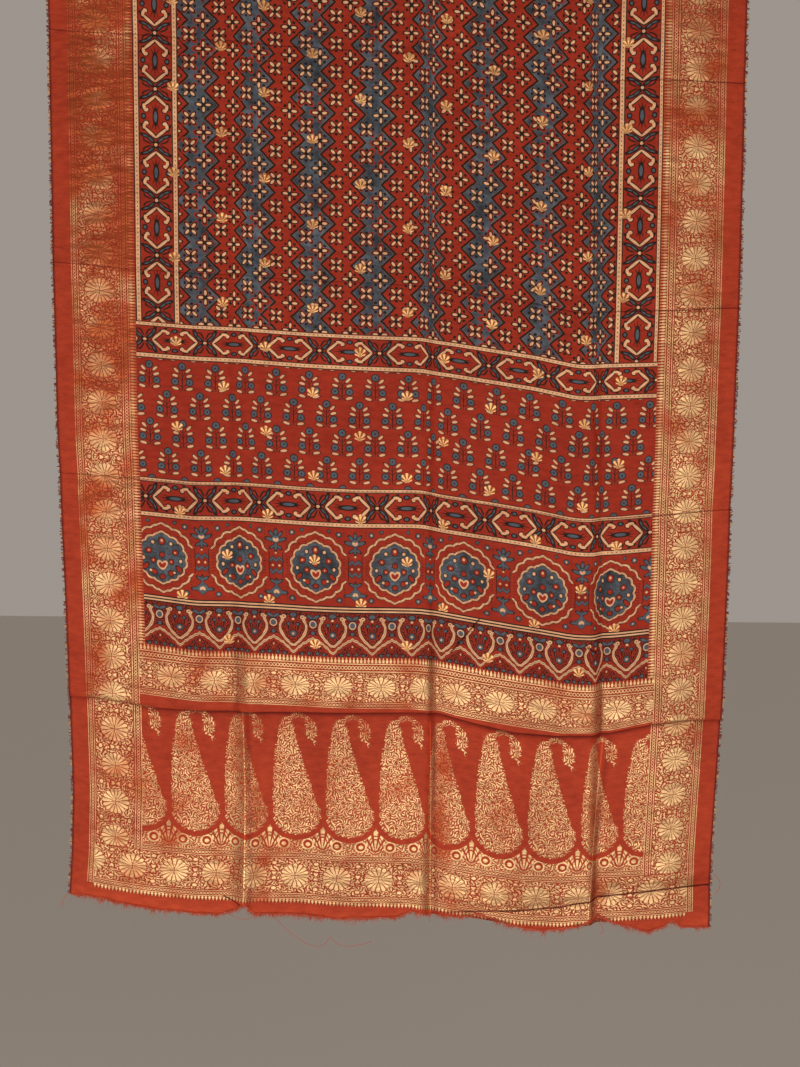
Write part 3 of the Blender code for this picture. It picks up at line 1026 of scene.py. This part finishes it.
def paint_rosettes(shader):
    """Sixteen-petalled gold rosettes, with buds and curled leaves between them."""
    count, share = shader.band()
    pitch, half = ROSETTE_SIZE
    x, y = shader.repeat(count, 1.0) * pitch, share * half
    place = shader.join(x, y)
    radius = shader.oval(place, 0.0, 0.0, 0.0178, 0.0206)
    angle = (y.math("ARCTAN2", x) * (ROSETTE_PETALS / (2.0 * math.pi))).math("WRAP", 0.5, -0.5)
    off = abs(angle)
    petals = radius + off * off * 0.0150
    gaps = shader.inside(off * -1.0, -0.385, 0.08) * shader.inside(radius * -1.0, 0.0150, 0.004)
    cross = shader.line(shader.nearest(abs(x), abs(y)), 0.0004) * shader.inside(radius, -0.0125)
    rosette = shader.inside(petals) * (1.0 - gaps) * (1.0 - cross)

    far = shader.join(abs(x) * -1.0 + pitch / 2.0, abs(y))
    buds = shader.ovals(far,
        (0.0, 0.0210, 0.0030, 0.0026), (0.0, 0.0030, 0.0018, 0.0042, -35.0),
    )
    leaves = leafy(shader, shader.join(count * pitch, share * half), 0.0118, 7.0)
    leaf = shader.inside(buds) + shader.inside(buds * -1.0, -0.0012) * leaves
    outside = shader.inside(petals * -1.0, -0.0009) * shader.inside(abs(share), 0.96, 0.04)
    return woven(shader, (rosette + leaf * outside).math("MINIMUM", 1.0))


def paint_paisleys(shader):
    """Tall gold paisleys, each a leafy cone whose neck arches over to a hook at the right, and
    under them gold scrolls with a palmette between each two."""
    across, level = shader.split(shader.fabric())
    x = (across - PAISLEY_ACROSS).math("WRAP", PAISLEY_PITCH / 2.0, -PAISLEY_PITCH / 2.0)
    place = shader.join(x, level)
    share = (level * -1.0 + PAISLEY_WIDEST) / (PAISLEY_WIDEST - PAISLEY_NECK)
    bulge = share * (1.0 - share)
    middle = share * -0.0181 - bulge * 0.0120 + 0.0006
    half = share * -0.0240 + bulge * 0.0060 + 0.0354
    cone = (abs(x - middle) - half).math("MAXIMUM", level - PAISLEY_WIDEST)
    cone = cone.math("MAXIMUM", level * -1.0 + PAISLEY_NECK)
    arch = abs(shader.oval(place, 0.0008, 1.0490, 0.0180, 0.0190)) - 0.0032
    body = shader.nearest(
        cone,
        shader.oval(place, 0.0006, PAISLEY_WIDEST, 0.0354, 0.0295),
        shader.oval(place, -0.0170, 1.0510, 0.0112, 0.0170),
        arch.math("MAXIMUM", level - 1.0490),
        shader.oval(place, 0.0196, 1.0510, 0.0092, 0.0140),
        shader.oval(place, 0.0250, 1.0655, 0.0019, 0.0070, -8.0),
    )
    ragged = shader.noise(place, 330.0, 0.0).math("MULTIPLY_ADD", 0.0052, -0.0022)
    leaves = leafy(shader, place, 0.0135, 9.0)
    gold = leaves * shader.inside(body + ragged, 0.0004)

    contour = shader.oval(place, 0.0, 1.1680, 0.0457, 0.0440)
    below = shader.inside(contour * -1.0, -0.0004) * shader.inside(level * -1.0, -1.1840)
    x = abs(x)
    beside = shader.join(x, level)
    spiral = shader.oval(beside, 0.0178, 1.2175, 0.0080, 0.0074)
    scroll = shader.nearest(
        abs(spiral) - 0.0011,
        shader.oval(beside, 0.0182, 1.2180, 0.0036, 0.0030),
    )
    fan = shader.join(x - PAISLEY_PITCH / 2.0, level - 1.2270)
    fan_x, fan_y = shader.split(fan)
    ray = abs((fan_x.math("ARCTAN2", fan_y * -1.0) * 8.5).math("COSINE"))
    palmette = shader.oval(fan, 0.0, -0.0150, 0.0128, 0.0165)
    heart = shader.oval(fan, 0.0, -0.0120, 0.0070, 0.0090)
    leaf = ray.math("MULTIPLY_ADD", 3.2, -1.35, clamp=True) * (1.0 - shader.line(heart, 0.0008))
    leaf = leaf * (1.0 - shader.line(heart - 0.0036, 0.0006))
    leaf = leaf * shader.inside(palmette - ray * 0.0016)
    free = shader.inside(shader.nearest(spiral, palmette) * -1.0, -0.0010)
    vine = leafy(shader, place, 0.0112, 7.0) * free + shader.inside(scroll) + leaf
    gold = gold + below * vine.math("MINIMUM", 1.0)
    return woven(shader, gold.math("MINIMUM", 1.0), "plain_red")


def add_sprigs(shader, colour):
    """Lays the woven gold sprigs over a print: fans of fine rays in staggered rows."""
    across, level = shader.split(shader.fabric())
    count = (across - SPRIG_ACROSS) / SPRIG_PITCH
    x = count.math("WRAP", 0.5, -0.5)
    odd = abs((count - x).math("WRAP", 1.5, -0.5))
    level = level - (level * -1.0 + SPRIG_LEVEL).math("MAXIMUM", 0.0) * SPRIG_CLOSER
    y = shader.repeat(level - odd * (SPRIG_RISE / 2.0), SPRIG_RISE, SPRIG_LEVEL)
    place = shader.join(x * SPRIG_PITCH, y)
    angle = (x * SPRIG_PITCH).math("ARCTAN2", y * -1.0 + 0.0050)
    rays = abs((angle * 4.5).math("COSINE"))
    fan = shader.oval(place, 0.0, 0.0, 0.0078, 0.0066) - rays * 0.0016 + 0.0010
    gold = shader.inside(fan) * rays.math("MULTIPLY_ADD", 2.2, -0.95, clamp=True)
    ground = shader.inside(fan, 0.0002) * 0.62
    colour = shader.mix(ground, colour, "dull_gold")
    return shader.mix(gold, colour, "sprig_gold"), gold


def paint_plain(shader):
    """The plain ground: brighter at the raw end, dark at the looped selvages."""
    across, level = shader.split(shader.fabric())
    end = shader.inside(level * -1.0, -0.5 * (LAST_TEETH_END + LAST_LEVEL), 0.030)
    colour = shader.mix(end, "plain_red", "end_red")
    edge = abs(across - FLAT_WIDTH / 2.0) * -1.0 + FLAT_WIDTH / 2.0
    return shader.lay(colour, "selvage", edge, 0.0026, 0.0016), None


def paint_reverse(shader):
    """The back: the dye come through unevenly, with no print to read."""
    return dyed(shader, shader.fabric(), "reverse_red"), None


PAINTS = {
    "zigzags": paint_zigzags,
    "stripe": paint_stripe,
    "arrows": paint_arrows,
    "bushes": paint_bushes,
    "medallions": paint_medallions,
    "lines": paint_lines,
    "arches": paint_arches,
    "teeth": paint_teeth,
    "narrow": paint_narrow,
    "rosettes": paint_rosettes,
    "paisleys": paint_paisleys,
}
PRINTS = ("zigzags", "stripe", "arrows", "bushes", "medallions", "arches")


def cloth_material(name):
    """One pattern's material: its colours, with painted shade in its fine creases, wrinkles and
    fold valleys and under the ledge's lip, a painted highlight on the fold ridges, and the gold's
    sheen, from its metal and roughness as well as painted.
    """
    shader = Shader("cloth_" + name)
    paint = {**PAINTS, "plain": paint_plain, "reverse": paint_reverse}[name]
    colour, gold = paint(shader)
    if name in PRINTS:
        colour, gold = add_sprigs(shader, colour)
    place = shader.fabric()
    across, level = shader.split(place)
    # Painted shade in the creases: dark lines along the packing creases, the short creases and the
    # last crease, and a softer band just above the last crease; the creases dip the bump too.
    wave = shader.noise(place, 16.0, 1.0) * 0.003 - 0.0015
    lines = [abs(level + wave - row[0]) for row in CREASES]
    last = across * -1.0 + FLAT_WIDTH
    last = level - last * last * LAST_CREASE_BEND - LAST_CREASE_LEVEL
    right = shader.inside(across * -1.0, -LAST_CREASE_START, 0.05)
    painted_shade_above_last = shader.inside(abs(last + 0.0100), 0.0, 0.0200) * right * 0.25
    short = [shader.stroke(place, *row) for row in SHORT_CREASES]
    strength = shader.inside(across * -1.0, -0.74, 0.16) * 0.26 + 0.52
    crease = shader.inside(shader.nearest(*lines), 0.0006, 0.0016) * strength
    crease = crease + shader.inside(shader.nearest(*short), 0.0010, 0.0014) * 0.80
    crease = crease + shader.inside(abs(last), 0.0012, 0.0016) * right * 0.80
    # Painted shade in the folds' valleys above the ledge and to the right of each ridge below it,
    # and a painted highlight along the ridges, which the bump raises too.
    low = shader.inside(level * -1.0, -RIDGE_LEVEL, 0.012)
    valley = shader.nearest(*[
        abs(across - row[0] - level * ((row[1] - row[0]) / RAW_END[-1][1])) for row in VALLEYS])
    border = shader.inside(level * -1.0, -ARCHES_END, 0.012)
    valley = shader.inside(valley, 0.0040, 0.0080) * (1.0 - low) * (border * 0.16 + 0.12)
    beside = shader.inside(beside_ridges(shader, VALLEY_BESIDE), 0.0040, 0.0080)
    valley = valley + beside * low * 0.30
    ridge = shader.inside(beside_ridges(shader, 0.0), 0.0011, 0.0016) * low
    # Painted shadow below the ledge's lip, read from the piece's lip_shade attribute.
    lip = shader.node("ShaderNodeAttribute", {"attribute_name": "lip_shade"}, output=2)
    shade = shader.noise(place, 9.0, 5.0).math("MULTIPLY_ADD", 0.40, 0.80) - crease + ridge * 0.80
    shade = shade + shader.noise(place, 60.0, 4.0, (1.0, 2.2, 1.0)) * 0.50 - 0.25 - valley
    # Painted shade in thin wavy wrinkle lines, in patches.
    wrinkle = abs(shader.noise(place, 24.0, 2.0, (0.7, 2.4, 1.0)) - 0.5)
    patch = shader.inside(shader.noise(place, 15.0, 2.0) * -1.0, -0.52, 0.06)
    shade = shade - shader.inside(wrinkle, 0.004, 0.008) * patch * 0.20
    shade = ((shade - painted_shade_above_last) * (1.0 - lip)).math("MAXIMUM", 0.10)
    warm = shade.math("POWER", SHADE_WARMTH)
    shaded = shader.node("ShaderNodeCombineXYZ", None, {0: shade, 1: warm, 2: warm})
    shader.feed("Base Color", shader.mix(1.0, colour, shaded, "MULTIPLY"))
    wrinkles = shader.noise(place, 26.0, 3.0, (1.0, 2.6, 1.0)) * 26.0
    height = shader.noise(place, 700.0, 2.0) + wrinkles - crease * 5.0 + ridge * 5.0
    shader.feed("Specular IOR Level", CLOTH_SPECULAR)
    if gold is None:
        shader.feed("Roughness", CLOTH_ROUGHNESS)
    else:
        shader.feed("Roughness", gold.math("MULTIPLY_ADD", -GOLD_SMOOTHER, CLOTH_ROUGHNESS))
        shader.feed("Metallic", gold * GOLD_METAL)
        height = height + gold
    sockets = {"Strength": BUMP_STRENGTH, "Distance": BUMP_DISTANCE, "Height": height}
    shader.feed("Normal", shader.node("ShaderNodeBump", None, sockets))
    return shader.material


def plain_material(name, colour):
    """A dull finish of one colour."""
    shader = Shader(name)
    shader.feed("Base Color", colour)
    shader.feed("Roughness", 0.75)
    return shader.material


# ---------------------------------------------------------------- pieces

# How many strands and clumps the fringe has, edge threads, and loops on each selvage
FRAY_STRANDS, FRAY_CLUMPS, EDGE_THREADS, SELVAGE_LOOPS = 2400, 150, 120, 800
FRAY_RADIUS, LOOP_RADIUS = 0.00042, 0.00045

# Long loose threads, each through three points: x and z of each
LOOSE_THREADS = (
    (-0.1690, -1.3593, -0.1174, -1.4002, -0.0894, -1.3892),
    (-0.2381, -1.3523, -0.2190, -1.3613, -0.2028, -1.3581),
    (0.4746, -1.2866, 0.4839, -1.3017, 0.4770, -1.3170),
    (-0.4729, -1.3240, -0.4789, -1.3317, -0.4821, -1.3439),
    (-0.0879, -1.3861, -0.0658, -1.4012, -0.0260, -1.3932),
    (0.3032, -1.3566, 0.3139, -1.3718, 0.3097, -1.3794),
)


def make_fabric(thickness):
    """The cloth: its grid on the hung surface, closed into a thin sheet, one material a pattern."""
    across, level = flat_grid()
    hung = hung_level(across, level)
    depth = hung + weft_sag(across, hung)
    corners, faces, front = shell(surface(across, depth), thickness)
    fabric = put_mesh("fabric", corners, faces)

    names = ["plain", *PAINTS, "reverse"]
    for name in names:
        fabric.data.materials.append(cloth_material(name))
    middle = [(grid[:-1, :-1] + grid[1:, 1:]).ravel() / 2.0 for grid in (across, level)]
    band = band_of(*middle)
    of_band = np.array([names.index(row[0]) for row in BANDS] + [names.index("plain")])
    material = np.full(len(faces), names.index("reverse"), dtype=np.int32)
    material[:front] = of_band[band]
    fabric.data.polygons.foreach_set("material_index", material)

    # The overhanging lip keeps light off the cloth just below it.
    below = (depth - reading(LEDGE, 1, across) - LIP_SHADE_PLACE) / LIP_SHADE_REACH
    strength = reading(LEDGE, 2, across) / LIP_SHADE_SWELL
    shade = LIP_SHADE_MOST * strength * np.exp(-np.where(below < 0.0, 9.0, 1.0) * below**2)
    layer = fabric.data.attributes.new("lip_shade", "FLOAT", "POINT")
    layer.data.foreach_set("value", np.tile(shade.ravel(), 2).astype(np.float32))

    corner = np.empty(len(fabric.data.loops), dtype=np.int32)
    fabric.data.loops.foreach_get("vertex_index", corner)
    corner %= across.size
    band_at = np.full(len(faces), -1)
    band_at[:front] = band
    flat = np.stack([across.ravel(), hung.ravel()], axis=-1)[corner]
    placed = band_places(np.repeat(band_at, 4), across.ravel()[corner], level.ravel()[corner],
                         hung.ravel()[corner])
    for name, places in (("fabric", flat), ("band", placed)):
        layer = fabric.data.uv_layers.new(name=name)
        layer.uv.foreach_set("vector", places.astype(np.float32).ravel())
    return fabric


def edge_points():
    """Points of the hung cloth along its left and right selvages and its raw end."""
    across, level = flat_grid()
    hung = hung_level(across, level)
    points = surface(across, hung + weft_sag(across, hung))
    return points[:, 0], points[:, -1], points[-1]


def along_edge(edge, places):
    """Points at shares from 0 to 1 of an edge's length."""
    step = np.linalg.norm(np.diff(edge, axis=0), axis=-1)
    length = np.append(0.0, np.cumsum(step)) / step.sum()
    return np.stack([np.interp(places, length, edge[:, axis]) for axis in range(3)], axis=-1)


def threads(lines, radii):
    """Corners and faces of four-sided threads along many centrelines, closed at both ends."""
    way = np.gradient(lines, axis=1)
    way /= np.linalg.norm(way, axis=-1, keepdims=True)
    side = np.cross(way, (0.23, 0.95, 0.17))
    side /= np.linalg.norm(side, axis=-1, keepdims=True)
    lift = np.cross(side, way)
    turn = np.arange(4)[:, None] * (math.pi / 2.0)
    rings = np.cos(turn) * side[..., None, :] + np.sin(turn) * lift[..., None, :]
    corners = lines[:, :, None, :] + radii[:, :, None, None] * rings
    index = np.arange(radii.size * 4).reshape(*radii.shape, 4)
    after = np.roll(index, -1, axis=2)
    sides = np.stack([index[:, :-1], index[:, 1:], after[:, 1:], after[:, :-1]], axis=-1)
    ends = np.concatenate([index[:, 0], index[:, -1, ::-1]])
    return corners, np.concatenate([sides.reshape(-1, 4), ends])


def make_fray(length, dyes):
    """The raw end's fringe: short clumped strands that taper along parabolas, and edge threads."""
    chance = np.random.default_rng(7)
    edge = edge_points()[2]
    places = np.sort(chance.random(FRAY_STRANDS))
    clump = np.interp(places, np.linspace(0.0, 1.0, FRAY_CLUMPS), chance.random(FRAY_CLUMPS))
    lean = np.interp(
        places, np.linspace(0.0, 1.0, FRAY_CLUMPS), chance.normal(0.0, 0.55, FRAY_CLUMPS))
    lean += chance.normal(0.0, 0.30, FRAY_STRANDS)
    reach = length * (0.30 + 0.75 * clump * chance.random(FRAY_STRANDS))
    away = chance.normal(0.0, 0.25, FRAY_STRANDS)
    way = np.stack([np.sin(lean), away, -np.cos(lean)], axis=-1) * reach[:, None]
    bend = chance.normal(0.0, 0.30, (FRAY_STRANDS, 3)) * reach[:, None]
    t = np.linspace(0.0, 1.0, 4)[None, :, None]
    lines = along_edge(edge, places)[:, None, :] + way[:, None, :] * t + bend[:, None, :] * t * t
    radii = FRAY_RADIUS * (1.0 - 0.75 * t[..., 0]) * np.ones((FRAY_STRANDS, 1))
    fringe = threads(lines, radii)

    # Weft threads that have slipped off the edge lie along it in shallow waves.
    starts = chance.random(EDGE_THREADS) * 0.97
    t = np.linspace(0.0, 1.0, 9)[None, :]
    lengths = chance.uniform(0.010, 0.045, EDGE_THREADS)
    spots = np.minimum(starts[:, None] + t * lengths[:, None], 1.0)
    lines = along_edge(edge, spots.ravel()).reshape(EDGE_THREADS, 9, 3)
    lines[..., 2] -= chance.uniform(-0.001, 0.003, EDGE_THREADS)[:, None] * np.sin(t * math.pi)
    lines[..., 2] += chance.normal(0.0, 0.0005, lines.shape[:2])
    lines[..., 1] -= 0.0009
    slipped = threads(lines, FRAY_RADIUS * np.ones(lines.shape[:2]))

    # A few long threads hang loose, each through three points.
    first, middle, last = (np.array(LOOSE_THREADS)[:, None, i:i + 2] for i in (0, 2, 4))
    t = np.linspace(0.0, 1.0, 12)[None, :, None]
    flat = (first * (1.0 - t) * (1.0 - 2.0 * t) + middle * 4.0 * t * (1.0 - t)
            + last * t * (2.0 * t - 1.0))
    lines = np.stack([flat[..., 0], 0.0 * flat[..., 0] - 0.004, flat[..., 1]], axis=-1)
    loose = threads(lines, 0.8 * FRAY_RADIUS * np.ones(lines.shape[:2]))
    corners, faces, start = [], [], 0
    for points, joined in (fringe, slipped, loose):
        corners.append(points.reshape(-1, 3))
        faces.append(joined + start)
        start += len(corners[-1])
    fray = put_mesh("frayed_end", np.concatenate(corners), np.concatenate(faces))
    fray.data.materials.append(plain_material("frayed_thread", dyes.end_red))
    return fray


def make_loops(reach, dyes):
    """The selvages' looped threads: half circles out of each edge, now and then a gold one."""
    chance = np.random.default_rng(11)
    lines = []
    for edge, outward in zip(edge_points()[:2], (-1.0, 1.0)):
        root = along_edge(edge, chance.random(SELVAGE_LOOPS))[:, None, :]
        out = (outward * reach * chance.uniform(0.25, 1.0, SELVAGE_LOOPS))[:, None]
        span = chance.normal(0.0, 0.0022, SELVAGE_LOOPS)[:, None]
        front = chance.normal(0.0, 0.0010, SELVAGE_LOOPS)[:, None]
        t = np.linspace(0.0, 1.0, 6)[None, :]
        arch = np.sin(t * math.pi)
        lines.append(root + np.stack([out * arch, front * arch, span * (t - 0.5)], axis=-1))
    lines = np.concatenate(lines)
    corners, faces = threads(lines, LOOP_RADIUS * np.ones(lines.shape[:2]))
    loops = put_mesh("selvage_loops", corners, faces)
    loops.data.materials.append(plain_material("selvage_thread", dyes.selvage))
    loops.data.materials.append(plain_material("selvage_gold", dyes.sprig_gold))
    gold = chance.random(len(lines)) < 0.28
    sides = np.repeat(gold, (lines.shape[1] - 1) * 4)
    loops.data.polygons.foreach_set(
        "material_index", np.concatenate([sides, gold, gold]).astype(np.int32))
    return loops


# ---------------------------------------------------------------- stage

CAMERA_PLACE = (0.010, -2.190, -0.5334)
CAMERA_TILT = 6.65
CAMERA_ROLL = 0.5
CAMERA_LENS = 51.99
CAMERA_SENSOR = 36.0
FLOOR_LEVEL = -2.30
KEY_PLACE, KEY_AIM = (-0.20, -2.60, -1.50), (0.0, 0.0, -0.90)
FILL_PLACE, FILL_AIM = (1.2, -2.6, 0.55), (0.1, 0.0, -0.5)
KEY_SIZE, FILL_SIZE = 2.2, 1.2
ROOM_COLOUR, ROOM_STRENGTH, FLOOR_COLOUR = (205, 195, 186), 0.55, (214, 206, 198)
FLOOR_REACH = 8.0


def make_camera():
    """The camera at the photograph's place, before mid-cloth and tipped a little down."""
    data = bpy.data.cameras.new("camera")
    data.lens = CAMERA_LENS
    data.sensor_fit = "VERTICAL"
    data.sensor_height = CAMERA_SENSOR
    camera = bpy.data.objects.new("camera", data)
    bpy.context.scene.collection.objects.link(camera)
    tip = Matrix.Rotation(math.radians(90.0 - CAMERA_TILT), 4, "X")
    roll = Matrix.Rotation(math.radians(CAMERA_ROLL), 4, "Z")
    camera.matrix_world = Matrix.Translation(CAMERA_PLACE) @ tip @ roll
    bpy.context.scene.camera = camera


def make_light(name, place, aim, size, power):
    """A square soft light, turned from its place towards its aim."""
    data = bpy.data.lights.new(name, "AREA")
    data.size = size
    data.energy = power
    light = bpy.data.objects.new(name, data)
    bpy.context.scene.collection.objects.link(light)
    turn = (Vector(place) - Vector(aim)).to_track_quat("Z", "Y").to_matrix().to_4x4()
    light.matrix_world = Matrix.Translation(place) @ turn


def dye(name, description, *screen):
    """A colour property with a screen colour as its default."""
    return FloatVectorProperty(name=name, description=description, default=rgb(*screen),
                               subtype="COLOR", size=4, min=0.0, max=1.0)


class ClothDyes(bpy.types.PropertyGroup):
    print_red: dye("Madder red", "The red block's ground", 156, 44, 24)
    plain_red: dye("Plain red", "The unprinted ground beside the borders", 172, 58, 32)
    end_red: dye("End red", "The plain strip and the fringe at the raw end", 196, 74, 42)
    indigo: dye("Indigo", "The blue block's ground", 83, 89, 96)
    cream: dye("Cream", "Parts that the blocks leave undyed", 226, 170, 126)
    black: dye("Black", "The outlines' block", 42, 25, 18)
    pale_line: dye("Pale line", "The undyed line beside the zigzags' edges", 160, 110, 80)
    # Zari gold is the thread with its painted highlight; dull gold is the same thread with painted
    # shade, and also the sprigs' dull ground.
    gold: dye("Zari gold", "The woven borders' and the paisleys' thread", 216, 176, 124)
    dull_gold: dye("Dull gold", "The same thread where it is worn dull", 172, 90, 50)
    sprig_gold: dye("Sprig gold", "The small sprigs' thread", 222, 170, 110)
    zari_ground: dye("Zari ground", "The red between the gold threads", 160, 50, 26)
    selvage: dye("Selvage", "The looped threads at the two selvages", 128, 46, 40)
    reverse_red: dye("Reverse", "The back of the cloth", 140, 60, 40)


class ClothSettings(bpy.types.PropertyGroup):
    thickness: FloatProperty(
        name="Thickness", description="Thickness of the cloth's sheet",
        default=0.0005, min=0.0002, max=0.002, unit="LENGTH",
    )
    fringe: FloatProperty(
        name="Fringe", description="Length of the longest short strands at the raw end",
        default=0.0105, min=0.001, max=0.02, unit="LENGTH",
    )
    loops: FloatProperty(
        name="Selvage loops", description="How far the looped threads stand out of a selvage",
        default=0.0036, min=0.0005, max=0.008, unit="LENGTH",
    )
    key_power: FloatProperty(
        name="Key light", description="Power of the soft light below the camera",
        default=54.0, min=0.0, unit="POWER",
    )
    fill_power: FloatProperty(
        name="Fill light", description="Power of the wide light at the upper right",
        default=6.0, min=0.0, unit="POWER",
    )


class CLOTH_OT_threads(bpy.types.Operator):
    """Builds the raw end's fringe and the selvages' loops"""

    bl_idname = "cloth.threads"
    bl_label = "Fringe and selvage loops"

    def execute(self, context):
        settings, dyes = context.scene.cloth, context.scene.cloth_dyes
        for piece in (make_fray(settings.fringe, dyes), make_loops(settings.loops, dyes)):
            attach(piece, "root")
        return {"FINISHED"}


class CLOTH_OT_fabric(bpy.types.Operator):
    """Builds the hung cloth and hides the imported cloth"""

    bl_idname = "cloth.fabric"
    bl_label = "Hung cloth"

    def execute(self, context):
        fabric = make_fabric(context.scene.cloth.thickness)
        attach(fabric, "root")
        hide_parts("ajrakh_cloth")
        return {"FINISHED"}


class CLOTH_OT_stage(bpy.types.Operator):
    """Sets the camera, the lights and the pale floor"""

    bl_idname = "cloth.stage"
    bl_label = "Stage"

    def execute(self, context):
        settings = context.scene.cloth
        make_camera()
        make_light("key", KEY_PLACE, KEY_AIM, KEY_SIZE, settings.key_power)
        make_light("fill", FILL_PLACE, FILL_AIM, FILL_SIZE, settings.fill_power)
        world = bpy.data.worlds.new("pale_room")
        world.use_nodes = True
        background = world.node_tree.nodes["Background"].inputs
        background["Color"].default_value = rgb(*ROOM_COLOUR)
        background["Strength"].default_value = ROOM_STRENGTH
        context.scene.world = world
        context.scene.view_settings.view_transform = "Standard"
        corners = np.array([[x * FLOOR_REACH, y * FLOOR_REACH, FLOOR_LEVEL]
                            for x, y in ((-1, -1), (1, -1), (1, 1), (-1, 1))])
        floor = put_mesh("floor", corners, np.array([[0, 1, 2, 3]]), smooth_faces=False)
        floor.data.materials.append(plain_material("pale_floor", rgb(*FLOOR_COLOUR)))
        return {"FINISHED"}


class CLOTH_PT_panel(bpy.types.Panel):
    """Lists the cloth's pieces and the stage"""

    bl_label = "Ajrakh cloth"
    bl_idname = "CLOTH_PT_panel"
    bl_space_type = "VIEW_3D"
    bl_region_type = "UI"
    bl_category = "Cloth"

    def draw(self, context):
        for group in (context.scene.cloth, context.scene.cloth_dyes):
            for name in type(group).__annotations__:
                self.layout.prop(group, name)
        for operator in OPERATORS:
            self.layout.operator(operator.bl_idname)


OPERATORS = (CLOTH_OT_threads, CLOTH_OT_fabric, CLOTH_OT_stage)
CLASSES = (ClothDyes, ClothSettings, *OPERATORS, CLOTH_PT_panel)


def register():
    for item in CLASSES:
        bpy.utils.register_class(item)
    bpy.types.Scene.cloth = PointerProperty(type=ClothSettings)
    bpy.types.Scene.cloth_dyes = PointerProperty(type=ClothDyes)


def unregister():
    del bpy.types.Scene.cloth
    del bpy.types.Scene.cloth_dyes
    for item in reversed(CLASSES):
        bpy.utils.unregister_class(item)


def main():
    register()
    bpy.ops.cloth.threads()
    bpy.ops.cloth.fabric()
    bpy.ops.cloth.stage()


if __name__ == "__main__":
    main()
